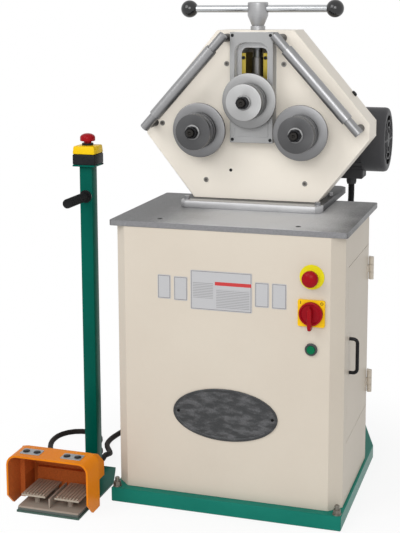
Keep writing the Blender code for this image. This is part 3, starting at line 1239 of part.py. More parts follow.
def spindle(name, x, z, rear_y):
    """A roll's spindle: nose, shoulder behind the roll and long journal, its centre drilled."""
    face = FLANGE_THICKNESS + HUB_DISC_LENGTH
    nose = face + SPINDLE_NOSE_LENGTH
    seat = face - SPINDLE_SEAT_RECESS
    shoulder_rear = -GAP - SPINDLE_SHOULDER_LENGTH
    rear = FLANGE_REAR_Y - rear_y
    return turned(name, [
        (0, nose - SPINDLE_CENTRE_DEPTH), (SPINDLE_CENTRE_RADIUS, nose),
        (SPINDLE_THREAD_RADIUS - SPINDLE_NOSE_CHAMFER, nose),
        (SPINDLE_THREAD_RADIUS, nose - SPINDLE_NOSE_CHAMFER), (SPINDLE_THREAD_RADIUS, seat),
        (SPINDLE_RADIUS, seat), (SPINDLE_RADIUS, -GAP), (SPINDLE_SHOULDER_RADIUS, -GAP),
        (SPINDLE_SHOULDER_RADIUS, shoulder_rear), (SPINDLE_JOURNAL_RADIUS, shoulder_rear),
        (SPINDLE_JOURNAL_RADIUS, rear), (0, rear)],
        (x, FLANGE_REAR_Y, z), (0, -1, 0), SEGMENTS_MEDIUM)


def roll(name, x, z):
    """A roll: flange disc behind and a hub in front with two grooves beside the flange."""
    groove_floor = HUB_DISC_RADIUS - HUB_GROOVE_DEPTH
    first = FLANGE_THICKNESS
    second = first + HUB_GROOVE_WIDTH + HUB_LAND_WIDTH
    face = FLANGE_THICKNESS + HUB_DISC_LENGTH
    bore = SPINDLE_RADIUS + GAP
    return turned(name, [
        (HUB_DISC_RADIUS - HUB_DISC_CHAMFER, face), (HUB_DISC_RADIUS, face - HUB_DISC_CHAMFER),
        (HUB_DISC_RADIUS, second + HUB_GROOVE_WIDTH), (groove_floor, second + HUB_GROOVE_WIDTH),
        (groove_floor, second), (HUB_DISC_RADIUS, second),
        (HUB_DISC_RADIUS, first + HUB_GROOVE_WIDTH), (groove_floor, first + HUB_GROOVE_WIDTH),
        (groove_floor, first), (FLANGE_RADIUS - FLANGE_EDGE_CHAMFER, first),
        (FLANGE_RADIUS, first - FLANGE_EDGE_CHAMFER), (FLANGE_RADIUS, FLANGE_EDGE_CHAMFER),
        (FLANGE_RADIUS - FLANGE_EDGE_CHAMFER, 0), (bore, 0), (bore, face)],
        (x, FLANGE_REAR_Y, z), (0, -1, 0), ring=True)


def roll_nut(name, x, z):
    """Hexagon nut and washer that hold a roll on its spindle."""
    bore = SPINDLE_THREAD_RADIUS + GAP
    face_y = HUB_FACE_Y - GAP
    nut_rear = face_y - ROLL_WASHER_THICKNESS
    washer = rod(name, (x, face_y, z), (x, nut_rear, z), ROLL_WASHER_RADIUS)
    nut = rod(name + "_hexagon", (x, nut_rear + GAP, z), (x, nut_rear - ROLL_NUT_LENGTH, z),
              ROLL_NUT_ACROSS_CORNERS / 2, HEX_SIDES)
    hole = rod(name + "_hole", (x, face_y + OVERRUN, z),
               (x, nut_rear - ROLL_NUT_LENGTH - OVERRUN, z), bore)
    join(washer, nut)
    return cut(washer, hole)


def build_lower_roll(side, x, turn_share):
    """One driven roll with its spindle, gear and nut."""
    shaft = spindle(f"lower_{side}_spindle", x, LOWER_ROLL_Z, HEAD_REAR_Y + BEARING_CAP_DEPTH)
    gear = plate(f"{side}_gear", [gear_outline((x, LOWER_ROLL_Z), GEAR_TEETH, turn_share)], "XZ",
                 GEAR_FRONT_Y, GEAR_REAR_Y)
    finish(join(shaft, gear), DARK_STEEL)
    disc = finish(roll(f"lower_{side}_roll", x, LOWER_ROLL_Z), DARK_STEEL)
    nut = finish(roll_nut(f"lower_{side}_nut", x, LOWER_ROLL_Z), BLACK_OXIDE)
    hang(f"lower_{side}_axis", (x, FLANGE_REAR_Y, LOWER_ROLL_Z), shaft, disc, nut)


def build_top_roll(slide_axis):
    """The idle roll on the slide, its spindle collared in front of and behind the block."""
    rear = GUIDE_REAR_Y + GAP + SPINDLE_COLLAR_THICKNESS
    shaft = spindle("top_spindle", 0, TOP_ROLL_Z, rear)
    front = GUIDE_FRONT_Y - GAP
    join(shaft, rod("front_collar", (0, front, TOP_ROLL_Z),
                    (0, front - SPINDLE_COLLAR_THICKNESS, TOP_ROLL_Z), SPINDLE_COLLAR_RADIUS))
    join(shaft, rod("rear_collar", (0, GUIDE_REAR_Y + GAP, TOP_ROLL_Z),
                    (0, rear + GAP, TOP_ROLL_Z), SPINDLE_COLLAR_RADIUS))
    finish(shaft, DARK_STEEL)
    disc = finish(roll("top_roll", 0, TOP_ROLL_Z), GROUND_STEEL)
    nut = finish(roll_nut("top_roll_nut", 0, TOP_ROLL_Z), BLACK_OXIDE)
    hang("top_roll_axis", (0, FLANGE_REAR_Y, TOP_ROLL_Z), shaft, disc, nut, carrier=slide_axis)


def build_drive_pinion():
    """The pinion between the lower gears, on the reducer's output shaft."""
    outline = gear_outline((0, LOWER_ROLL_Z), PINION_TEETH, 0)
    pinion = plate("drive_pinion", [outline], "XZ", GEAR_FRONT_Y, GEAR_REAR_Y)
    shaft = rod("pinion_shaft", (0, GEAR_FRONT_Y + GAP, LOWER_ROLL_Z),
                (0, GEAR_FRONT_Y + PINION_SHAFT_LENGTH, LOWER_ROLL_Z), PINION_SHAFT_RADIUS)
    finish(join(pinion, shaft), DARK_STEEL)
    hang("drive_pinion_axis", (0, GEAR_FRONT_Y, LOWER_ROLL_Z), pinion)


def build_bearings():
    """Flanged bearing housings of the driven spindles, set in the head's front plate."""
    bore = SPINDLE_JOURNAL_RADIUS + GAP
    barrel_end = -HEAD_FRONT_PLATE_THICKNESS - BEARING_SPIGOT_LENGTH
    for name, x in (("bearing_housing_left", -LOWER_ROLL_X), ("bearing_housing_right", LOWER_ROLL_X)):
        finish(turned(name, [
            (BEARING_FLANGE_RADIUS, BEARING_FLANGE_THICKNESS), (BEARING_FLANGE_RADIUS, 0),
            (BEARING_BARREL_RADIUS, 0), (BEARING_BARREL_RADIUS, barrel_end), (bore, barrel_end),
            (bore, BEARING_FLANGE_THICKNESS)],
            (x, HEAD_FRONT_Y - GAP, LOWER_ROLL_Z), (0, -1, 0), ring=True), CAST_GREY)


def build_guide_bars():
    """Two inclined bars on studs, each with a sleeve that turns on it."""
    for side, word in ((-1, "left"), (1, "right")):
        low = Vector((side * GUIDE_BAR_BOTTOM_X, GUIDE_BAR_Y, HEAD_FOOT_Z + GUIDE_BAR_BOTTOM_Z))
        high = Vector((side * GUIDE_BAR_TOP_X, GUIDE_BAR_Y, HEAD_FOOT_Z + GUIDE_BAR_TOP_Z))
        length = (high - low).length
        along = (high - low) / length
        edge = GUIDE_BAR_RADIUS - GUIDE_BAR_CHAMFER
        bar = turned(f"guide_bar_{word}", [
            (0, length), (edge, length), (GUIDE_BAR_RADIUS, length - GUIDE_BAR_CHAMFER),
            (GUIDE_BAR_RADIUS, GUIDE_BAR_CHAMFER), (edge, 0), (0, 0)], low, along, SEGMENTS_MEDIUM)
        for place in (low + along * GUIDE_BAR_END_MARGIN, high - along * GUIDE_BAR_END_MARGIN):
            join(bar, rod("guide_bar_stud", place, (place.x, HEAD_FRONT_Y - GAP, place.z),
                          GUIDE_STUD_SPACER_RADIUS))
        finish(bar, GROUND_STEEL)

        start = low + along * length * (1 - GUIDE_SLEEVE_END_SHARE)
        sleeve_length = length * (GUIDE_SLEEVE_END_SHARE - GUIDE_SLEEVE_START_SHARE)
        bore = GUIDE_BAR_RADIUS + GAP
        sleeve = turned(f"guide_sleeve_{word}", [
            (GUIDE_SLEEVE_RADIUS, sleeve_length), (GUIDE_SLEEVE_RADIUS, 0), (bore, 0),
            (bore, sleeve_length)], start, along, SEGMENTS_MEDIUM, ring=True)
        hang(f"guide_sleeve_{word}_axis", start, finish(sleeve, GROUND_STEEL))


def build_reducer():
    """Worm reducer on the head's back: neck, body, worm barrel and motor flange."""
    half_width = REDUCER_BODY_WIDTH / 2
    low = MOTOR_Z - REDUCER_BODY_FLOOR_DROP
    body = box("gear_reducer", (-half_width, MOTOR_Y - REDUCER_BODY_DEPTH / 2, low),
               (half_width, MOTOR_Y + REDUCER_BODY_DEPTH / 2, low + REDUCER_BODY_HEIGHT))
    bevel(body, REDUCER_BODY_BEVEL, SOFT_EDGE_SEGMENTS)
    neck = rod("reducer_neck", (0, HEAD_REAR_Y + GAP, LOWER_ROLL_Z),
               (0, MOTOR_Y - REDUCER_BODY_DEPTH / 2 + OVERRUN, LOWER_ROLL_Z), REDUCER_NECK_RADIUS)
    flange_x = REDUCER_REACH - REDUCER_FLANGE_THICKNESS
    barrel = rod("worm_barrel", (-half_width - REDUCER_WORM_OVERHANG, MOTOR_Y, MOTOR_Z),
                 (flange_x + GAP, MOTOR_Y, MOTOR_Z), REDUCER_WORM_RADIUS)
    flange = rod("motor_flange", (flange_x, MOTOR_Y, MOTOR_Z), (REDUCER_REACH, MOTOR_Y, MOTOR_Z),
                 REDUCER_FLANGE_RADIUS)
    join(body, neck, barrel, flange)
    shaft_bore = rod("shaft_bore", (0, HEAD_REAR_Y - OVERRUN, LOWER_ROLL_Z),
                     (0, GEAR_FRONT_Y + PINION_SHAFT_LENGTH + GAP, LOWER_ROLL_Z),
                     PINION_SHAFT_RADIUS + GAP)
    finish(cut(body, shaft_bore), BLACK_PAINT)


def fin_outline(root, tip, count, share):
    """Outline of even fins round the motor's axis, in the YZ plane."""
    outline = []
    for fin in range(count):
        for radius, turn in ((root, -share / 2), (tip, -share / 2), (tip, share / 2), (root, share / 2)):
            angle = math.tau * (fin + turn) / count
            outline.append((MOTOR_Y + radius * math.cos(angle), MOTOR_Z + radius * math.sin(angle)))
    return outline


def grille_slots():
    """Outlines of the slots between the grille's rings and spokes, in the YZ plane."""
    pitch = (FAN_GRILLE_RADIUS - FAN_GRILLE_HUB_RADIUS) / FAN_GRILLE_RING_COUNT
    half_web = FAN_GRILLE_WEB_WIDTH / 2
    slots = []
    for ring in range(FAN_GRILLE_RING_COUNT):
        inner = FAN_GRILLE_HUB_RADIUS + pitch * ring + half_web
        outer = inner + pitch - FAN_GRILLE_WEB_WIDTH
        for spoke in range(FAN_GRILLE_SPOKES):
            start = 360 / FAN_GRILLE_SPOKES * spoke
            end = 360 / FAN_GRILLE_SPOKES * (spoke + 1)
            outer_turn = math.degrees(math.asin(half_web / outer))
            inner_turn = math.degrees(math.asin(half_web / inner))
            centre = (MOTOR_Y, MOTOR_Z)
            slots.append(arc(centre, outer, start + outer_turn, end - outer_turn, SEGMENTS_CORNER)
                         + arc(centre, inner, end - inner_turn, start + inner_turn, SEGMENTS_CORNER))
    return slots


def build_motor_case():
    """Finned case with its end bells, shaft end and terminal box with the conduit's gland."""
    end_x = MOTOR_START_X + MOTOR_BODY_LENGTH
    fins = fin_outline(MOTOR_RADIUS - MOTOR_FIN_DEPTH, MOTOR_RADIUS, MOTOR_FIN_COUNT, MOTOR_FIN_SHARE)
    motor = plate("motor_body", [fins], "YZ", MOTOR_START_X + MOTOR_BELL_LENGTH, MOTOR_FIN_END_X)
    shaft = rod("fan_shaft", (end_x - GAP, MOTOR_Y, MOTOR_Z),
                (end_x + FAN_SHAFT_LENGTH, MOTOR_Y, MOTOR_Z), FAN_SHAFT_RADIUS, SEGMENTS_SMALL)
    bells = rod("motor_bells", (MOTOR_START_X, MOTOR_Y, MOTOR_Z), (end_x, MOTOR_Y, MOTOR_Z),
                MOTOR_BELL_RADIUS, SEGMENTS_LARGE)
    terminal_box = box("terminal_box",
                       (CONDUIT_X - TERMINAL_BOX_LENGTH / 2, MOTOR_Y - TERMINAL_BOX_WIDTH / 2,
                        TERMINAL_BOX_BOTTOM_Z),
                       (CONDUIT_X + TERMINAL_BOX_LENGTH / 2, MOTOR_Y + TERMINAL_BOX_WIDTH / 2,
                        MOTOR_Z - MOTOR_RADIUS / 2))
    bevel(terminal_box, TERMINAL_BOX_BEVEL)
    join(motor, bells, shaft, terminal_box,
         gland((CONDUIT_X, MOTOR_Y, TERMINAL_BOX_BOTTOM_Z), (0, 0, -1), CONDUIT_GLAND_RADIUS,
               CONDUIT_GLAND_LENGTH))
    finish(motor, BLACK_PAINT)


def build_fan():
    """Plastic fan on the motor's shaft end: a disc with straight blades, under the cover."""
    start = MOTOR_START_X + MOTOR_BODY_LENGTH + FAN_BELL_CLEARANCE
    disc_end = start + FAN_DISC_THICKNESS
    end = disc_end + FAN_BLADE_LENGTH
    fan = rod("motor_fan", (start, MOTOR_Y, MOTOR_Z), (disc_end, MOTOR_Y, MOTOR_Z), FAN_RADIUS,
              SEGMENTS_LARGE)
    blades = plate("fan_blades", [fin_outline(FAN_HUB_RADIUS, FAN_RADIUS - GAP, FAN_BLADE_COUNT,
                                              FAN_BLADE_SHARE)], "YZ", disc_end - GAP, end)
    bore = rod("fan_bore", (start - OVERRUN, MOTOR_Y, MOTOR_Z), (end + OVERRUN, MOTOR_Y, MOTOR_Z),
               FAN_SHAFT_RADIUS + GAP, SEGMENTS_SMALL)
    join(fan, blades)
    finish(cut(fan, bore), BLACK_PLASTIC)
    hang("motor_fan_axis", (start, MOTOR_Y, MOTOR_Z), fan)


def build_fan_cover():
    """Pressed fan cover, its end a grille of rings and spokes."""
    face = FAN_COVER_LENGTH
    floor = face - FAN_COVER_SHEET
    round_centre = (FAN_COVER_RADIUS - FAN_COVER_EDGE_RADIUS, face - FAN_COVER_EDGE_RADIUS)
    edge = list(reversed(arc(round_centre, FAN_COVER_EDGE_RADIUS, 0, 90, SEGMENTS_CORNER)))
    cover = turned("motor_fan_cover", [
        (0, face), *edge, (FAN_COVER_RADIUS, 0), (FAN_COVER_RADIUS - FAN_COVER_SHEET, 0),
        (FAN_COVER_RADIUS - FAN_COVER_SHEET, face - FAN_COVER_EDGE_RADIUS),
        (FAN_COVER_RADIUS - FAN_COVER_EDGE_RADIUS, floor), (0, floor)],
        (FAN_COVER_START_X, MOTOR_Y, MOTOR_Z), (1, 0, 0))
    slots = plate("grille_slots", grille_slots(), "YZ", FAN_COVER_START_X + floor - OVERRUN,
                  MOTOR_END_X + OVERRUN)
    finish(cut(cover, slots), BLACK_PAINT)


def build_conduit():
    """The motor's conduit, hanging in one bend from the motor to the cabinet's back."""
    lead = 2 * CONDUIT_RADIUS
    start_z = TERMINAL_BOX_BOTTOM_Z - CONDUIT_GLAND_LENGTH - GAP
    end_y = CABINET_REAR_Y + CONDUIT_GLAND_LENGTH + GAP
    bend_z = start_z - lead
    bend_y = end_y + lead
    points = [(CONDUIT_X, MOTOR_Y, start_z)]
    for y_share, z_share in arc((0, 0), 1, 0, 90, CONDUIT_POINT_COUNT):
        points.append((CONDUIT_X, bend_y + (MOTOR_Y - bend_y) * y_share,
                       bend_z + (CONDUIT_ENTRY_Z - bend_z) * z_share))
    points.append((CONDUIT_X, end_y, CONDUIT_ENTRY_Z))
    finish(tube("motor_conduit", points, CONDUIT_RADIUS), BLACK_RUBBER)


def build_pedestal():
    """Foot plate and square post of the pedestal, with the plate that carries its station."""
    half = FOOT_PLATE_WIDTH / 2
    taper_y = FOOT_PLATE_REAR_Y - FOOT_PLATE_TAPER_LENGTH
    rear_half = half - FOOT_PLATE_TAPER_INSET
    outline = [(PEDESTAL_X - half, FOOT_PLATE_FRONT_Y), (PEDESTAL_X + half, FOOT_PLATE_FRONT_Y),
               (PEDESTAL_X + half, taper_y), (PEDESTAL_X + rear_half, FOOT_PLATE_REAR_Y),
               (PEDESTAL_X - rear_half, FOOT_PLATE_REAR_Y), (PEDESTAL_X - half, taper_y)]
    finish(plate("pedestal_foot_plate", [outline], "XY", 0, FOOT_PLATE_THICKNESS),
           DARK_GREEN_PAINT)
    post_half = POST_SIDE / 2
    post = box("pedestal_post",
               (PEDESTAL_X - post_half, POST_Y - post_half, FOOT_PLATE_THICKNESS + GAP),
               (PEDESTAL_X + post_half, POST_Y + post_half, POST_TOP_Z))
    bevel(post, POST_BEVEL, SOFT_EDGE_SEGMENTS)
    cap_half = POST_CAP_SIDE / 2
    cap = box("post_cap", (PEDESTAL_X - cap_half, POST_Y - cap_half, POST_TOP_Z - GAP),
              (PEDESTAL_X + cap_half, POST_Y + cap_half, POST_TOP_Z + POST_CAP_THICKNESS))
    join(post, cap)
    for shift in (-POST_GLAND_HALF_SPACING, POST_GLAND_HALF_SPACING):
        join(post, gland((PEDESTAL_X + shift, POST_REAR_Y, POST_GLAND_HEIGHT), (0, 1, 0),
                         CABLE_GLAND_RADIUS, CABLE_GLAND_LENGTH))
    finish(post, DARK_GREEN_PAINT)


def build_station():
    """The stop station on the post: black box, tapered yellow cover and red mushroom."""
    half = STATION_SIDE / 2
    body = box("station_box", (PEDESTAL_X - half, POST_Y - half, STATION_BOTTOM_Z),
               (PEDESTAL_X + half, POST_Y + half, STATION_COVER_Z - GAP))
    finish(bevel(body, STATION_BEVEL, SOFT_EDGE_SEGMENTS), BLACK_PLASTIC)
    cover = box("station_cover", (PEDESTAL_X - half, POST_Y - half, STATION_COVER_Z),
                (PEDESTAL_X + half, POST_Y + half, STATION_TOP_Z))
    for vertex in cover.data.vertices:
        if vertex.co.z > 0:
            vertex.co.x *= STATION_COVER_TOP_SHARE
            vertex.co.y *= STATION_COVER_TOP_SHARE
    bevel(cover, STATION_BEVEL, SOFT_EDGE_SEGMENTS)
    centre = (PEDESTAL_X, POST_Y)
    collar_top = STATION_TOP_Z + STATION_COLLAR_LENGTH
    join(cover, rod("station_collar", (*centre, STATION_TOP_Z - GAP), (*centre, collar_top),
                    STATION_COLLAR_RADIUS))
    cut(cover, rod("station_bore", (*centre, STATION_TOP_Z - STATION_BORE_DEPTH),
                   (*centre, collar_top + OVERRUN), MUSHROOM_STEM_RADIUS + GAP))
    finish(cover, YELLOW_PLASTIC)
    place = (*centre, collar_top + MUSHROOM_TRAVEL + GAP)
    stem = STATION_COLLAR_LENGTH + STATION_BORE_DEPTH - GAP
    button = finish(mushroom("station_button", place, (0, 0, 1), stem), RED_PLASTIC)
    hang("station_button_axis", place, button)


def build_grip():
    """The ribbed hand grip on the post's front."""
    profile = [(0, GRIP_LENGTH), (GRIP_RADIUS * GRIP_END_SHARE, GRIP_LENGTH)]
    ribbed = GRIP_LENGTH - 2 * GRIP_FLANGE_LENGTH
    pitch = ribbed / GRIP_RIB_COUNT
    groove = GRIP_RADIUS - GRIP_GROOVE_DEPTH
    for rib in range(GRIP_RIB_COUNT):
        top = GRIP_LENGTH - GRIP_FLANGE_LENGTH - pitch * rib
        profile += [(GRIP_RADIUS, top), (GRIP_RADIUS, top - pitch * GRIP_RIB_SHARE),
                    (groove, top - pitch * GRIP_RIB_SHARE), (groove, top - pitch)]
    profile += [(GRIP_FLANGE_RADIUS, GRIP_FLANGE_LENGTH), (GRIP_FLANGE_RADIUS, 0), (0, 0)]
    front = POST_Y - POST_SIDE / 2 - GAP
    finish(turned("hand_grip", profile, (PEDESTAL_X, front, GRIP_HEIGHT), (0, -1, 0),
                  SEGMENTS_SMALL), BLACK_RUBBER)


def pedal_places():
    """Name and middle of each pedal."""
    half = PEDAL_SPACING / 2
    return (("left", PEDESTAL_X - half), ("right", PEDESTAL_X + half))


def build_pedal_base():
    """Base of the foot pedal: floor plate with upright rear, divider, stops and pivot lugs."""
    half = PEDAL_BASE_WIDTH / 2
    upright_y = PEDAL_BASE_REAR_Y - PEDAL_HOUSING_LENGTH
    upright_z = PEDAL_BASE_TOP_Z + PEDAL_HOUSING_HEIGHT
    profile = [(PEDAL_BASE_FRONT_Y, PEDAL_BASE_BOTTOM_Z), (PEDAL_BASE_REAR_Y, PEDAL_BASE_BOTTOM_Z),
               (PEDAL_BASE_REAR_Y, upright_z), (upright_y, upright_z), (upright_y, PEDAL_BASE_TOP_Z),
               (PEDAL_BASE_FRONT_Y + PEDAL_BASE_BEVEL, PEDAL_BASE_TOP_Z),
               (PEDAL_BASE_FRONT_Y, PEDAL_BASE_TOP_Z - PEDAL_BASE_BEVEL)]
    base = plate("pedal_base", [profile], "YZ", PEDESTAL_X - half, PEDESTAL_X + half)
    join(base, gland((PEDESTAL_X + PEDAL_GLAND_X_SHIFT, PEDAL_BASE_REAR_Y, PEDAL_GLAND_HEIGHT),
                     (0, 1, 0), CABLE_GLAND_RADIUS, CABLE_GLAND_LENGTH))
    fin_half = PEDAL_DIVIDER_THICKNESS / 2
    join(base, box("pedal_divider",
                   (PEDESTAL_X - fin_half, PEDAL_BASE_FRONT_Y + PEDAL_DIVIDER_FRONT_MARGIN,
                    PEDAL_BASE_TOP_Z - GAP),
                   (PEDESTAL_X + fin_half, upright_y + GAP, PEDAL_BASE_TOP_Z + PEDAL_DIVIDER_HEIGHT)))
    stop_y = PEDAL_FRONT_Y + PEDAL_STOP_SETBACK
    lug = [(PEDAL_PIVOT_Y - PEDAL_LUG_RADIUS, PEDAL_BASE_TOP_Z - GAP),
           (PEDAL_PIVOT_Y + PEDAL_LUG_RADIUS, PEDAL_BASE_TOP_Z - GAP),
           *arc((PEDAL_PIVOT_Y, PEDAL_PIVOT_Z), PEDAL_LUG_RADIUS, 0, 180)]
    hole = arc((PEDAL_PIVOT_Y, PEDAL_PIVOT_Z), PEDAL_PIVOT_RADIUS + GAP, 0,
               360 - 360 / SEGMENTS_SMALL, SEGMENTS_SMALL - 1)
    for _, x in pedal_places():
        join(base, rod("pedal_stop", (x, stop_y, PEDAL_BASE_TOP_Z - GAP),
                       (x, stop_y, PEDAL_BASE_TOP_Z + PEDAL_STOP_HEIGHT), PEDAL_STOP_RADIUS,
                       SEGMENTS_SMALL))
        for shift in (-PEDAL_LUG_SPACING / 2, PEDAL_LUG_SPACING / 2):
            join(base, plate("pedal_lug", [lug, hole], "YZ", x + shift - PEDAL_LUG_THICKNESS / 2,
                             x + shift + PEDAL_LUG_THICKNESS / 2))
    finish(base, CAST_GREY)


def build_pedals():
    """Two treadles with ribbed fronts, each turning on a pin near its rear."""
    for word, x in pedal_places():
        half = PEDAL_WIDTH / 2
        rear_y = PEDAL_FRONT_Y + PEDAL_LENGTH
        top = PEDAL_UNDERSIDE_Z + PEDAL_THICKNESS
        pedal = box(f"pedal_{word}", (x - half, PEDAL_FRONT_Y, PEDAL_UNDERSIDE_Z),
                    (x + half, rear_y, top))
        rib_pitch = PEDAL_WIDTH / (PEDAL_RIB_COUNT + 1)
        rib_half = rib_pitch * PEDAL_RIB_SHARE / 2
        for rib in range(PEDAL_RIB_COUNT):
            middle = x - half + rib_pitch * (rib + 1)
            join(pedal, box("pedal_rib", (middle - rib_half, PEDAL_FRONT_Y + rib_half, top - GAP),
                            (middle + rib_half, PEDAL_FRONT_Y + PEDAL_RIB_LENGTH,
                             top + PEDAL_RIB_HEIGHT)))
        inner = PEDAL_LUG_SPACING / 2 - PEDAL_LUG_THICKNESS / 2 - GAP
        outer = PEDAL_LUG_SPACING / 2 + PEDAL_LUG_THICKNESS / 2
        web_half = PEDAL_WEB_THICKNESS / 2
        join(pedal, box("pedal_web", (x - inner, PEDAL_PIVOT_Y - web_half, PEDAL_PIVOT_Z),
                        (x + inner, PEDAL_PIVOT_Y + web_half, PEDAL_UNDERSIDE_Z + GAP)),
             rod("pedal_barrel", (x - inner, PEDAL_PIVOT_Y, PEDAL_PIVOT_Z),
                 (x + inner, PEDAL_PIVOT_Y, PEDAL_PIVOT_Z), PEDAL_BARREL_RADIUS, SEGMENTS_SMALL),
             rod("pedal_pin", (x - outer, PEDAL_PIVOT_Y, PEDAL_PIVOT_Z),
                 (x + outer, PEDAL_PIVOT_Y, PEDAL_PIVOT_Z), PEDAL_PIVOT_RADIUS, SEGMENTS_SMALL))
        hang(f"pedal_{word}_axis", (x, PEDAL_PIVOT_Y, PEDAL_PIVOT_Z), finish(pedal, CAST_GREY))


def build_pedal_guard():
    """The moulded hood over the pedals: open in front and below, with a sloped rear hump."""
    half = GUARD_WIDTH / 2
    top = GUARD_HEIGHT
    guard = plate("pedal_guard", [arched(PEDESTAL_X, half, GUARD_WALL_FOOT, top,
                                         GUARD_CORNER_RADIUS)],
                  "XZ", GUARD_FRONT_Y, GUARD_REAR_Y)
    hump_half = half - GUARD_HUMP_INSET
    hump = [(GUARD_REAR_Y - GUARD_WALL, GUARD_HUMP_BOTTOM), (GUARD_HUMP_REAR_Y, GUARD_HUMP_BOTTOM),
            (GUARD_HUMP_REAR_Y, top - GUARD_HUMP_REAR_DROP),
            (GUARD_REAR_Y + GUARD_HUMP_SHOULDER_DEPTH, top - GUARD_HUMP_SHOULDER_DROP),
            (GUARD_REAR_Y, top - GUARD_WALL / 2), (GUARD_REAR_Y - GUARD_WALL, top - GUARD_WALL / 2)]
    join(guard, plate("guard_hump", [hump], "YZ", PEDESTAL_X - hump_half, PEDESTAL_X + hump_half))
    below = GUARD_WALL_FOOT - OVERRUN
    hood_cavity = plate("guard_hood_cavity", [
        arched(PEDESTAL_X, half - GUARD_WALL, below, top - GUARD_WALL,
               GUARD_CORNER_RADIUS - GUARD_WALL)],
        "XZ", GUARD_FRONT_Y - OVERRUN, GUARD_REAR_Y - GUARD_WALL)
    inner = inset(hump, GUARD_WALL)
    front_y = GUARD_REAR_Y - GUARD_WALL - OVERRUN
    hollow = [(front_y, below), (inner[1][0], below), *inner[2:5], (front_y, inner[5][1])]
    hump_cavity = plate("guard_hump_cavity", [hollow], "YZ", PEDESTAL_X - hump_half + GUARD_WALL,
                        PEDESTAL_X + hump_half - GUARD_WALL)
    chamfer = [(GUARD_FRONT_Y - OVERRUN, below), (GUARD_FRONT_Y + GUARD_FRONT_CHAMFER + OVERRUN, below),
               (GUARD_FRONT_Y - OVERRUN, GUARD_WALL_FOOT + GUARD_FRONT_CHAMFER + OVERRUN)]
    toe = plate("guard_toe", [chamfer], "YZ", PEDESTAL_X - half - OVERRUN,
                PEDESTAL_X + half + OVERRUN)
    finish(cut(guard, hood_cavity, hump_cavity, toe), ORANGE_PLASTIC)


# Routes of the floor cables between their glands, as they lie
PEDAL_CABLE_ROUTE = [
    (-0.444, -0.251, 0.0244), (-0.454, -0.219, 0.0207), (-0.471, -0.188, 0.0166),
    (-0.492, -0.162, 0.0140), (-0.519, -0.140, 0.0136), (-0.546, -0.119, 0.0118),
    (-0.570, -0.094, 0.0092), (-0.587, -0.065, 0.0077), (-0.600, -0.032, 0.0077),
    (-0.605, 0.002, 0.0077), (-0.600, 0.035, 0.0077), (-0.580, 0.063, 0.0077),
    (-0.549, 0.077, 0.0077), (-0.516, 0.074, 0.0077), (-0.488, 0.055, 0.0077),
    (-0.472, 0.024, 0.0077), (-0.466, -0.009, 0.0093), (-0.450, -0.040, 0.0142),
    (-0.432, -0.069, 0.0195)]
MACHINE_CABLE_ROUTE = [
    (-0.404, -0.068, 0.0130), (-0.417, -0.040, 0.0085), (-0.434, -0.014, 0.0077),
    (-0.445, 0.014, 0.0077), (-0.447, 0.054, 0.0077), (-0.439, 0.104, 0.0077),
    (-0.430, 0.150, 0.0077), (-0.410, 0.192, 0.0082), (-0.372, 0.226, 0.0200),
    (-0.325, 0.239, 0.0400), (-0.275, 0.232, 0.0460), (-0.240, 0.213, 0.0465),
    (-0.214, 0.183, 0.0540), (-0.203, 0.150, 0.0700)]


def build_cables():
    """The pedal's cable to the post and the post's cable to the cabinet, on the floor."""
    reach = CABLE_GLAND_LENGTH + GAP
    pedal_start = Vector((PEDESTAL_X + PEDAL_GLAND_X_SHIFT, PEDAL_BASE_REAR_Y + reach,
                          PEDAL_GLAND_HEIGHT))
    pedal_end = Vector((PEDESTAL_X - POST_GLAND_HALF_SPACING, POST_REAR_Y + reach,
                        POST_GLAND_HEIGHT))
    machine_start = Vector((PEDESTAL_X + POST_GLAND_HALF_SPACING, POST_REAR_Y + reach,
                            POST_GLAND_HEIGHT))
    machine_end = Vector((CABINET_GLAND_X, CABINET_REAR_Y + reach, CABINET_GLAND_HEIGHT))
    rearward = Vector((0, 1, 0))
    lead = 2 * CABLE_RADIUS * rearward
    pitch = CABLE_RADIUS * CABLE_POINT_PITCH_SHARE
    for name, start, route, end in (
            ("pedal_cable", pedal_start, PEDAL_CABLE_ROUTE, pedal_end),
            ("machine_cable", machine_start, MACHINE_CABLE_ROUTE, machine_end)):
        middle = smooth_route([start + lead, *route, end + lead], rearward, -rearward, pitch)
        finish(tube(name, [start, *middle, end], CABLE_RADIUS), BLACK_RUBBER)


start_scene()
build_base()
build_cabinet()
build_door()
build_table()
build_switchgear()
build_controls()
build_head_base()
build_head_shell()
build_slide_frames()
build_press_screw()
build_top_roll(build_slide_block())
build_lower_roll("left", -LOWER_ROLL_X, 0)
build_lower_roll("right", LOWER_ROLL_X, 0.5)
build_drive_pinion()
build_bearings()
build_guide_bars()
build_reducer()
build_motor_case()
build_fan()
build_fan_cover()
build_conduit()
build_pedestal()
build_station()
build_grip()
build_pedal_base()
build_pedals()
build_pedal_guard()
build_cables()
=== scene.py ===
"""Looks of the ring roller: finishes, floor cables, small fasteners, plates and fine turned pieces."""
import math

import bmesh
import bpy
from mathutils import Matrix, Vector


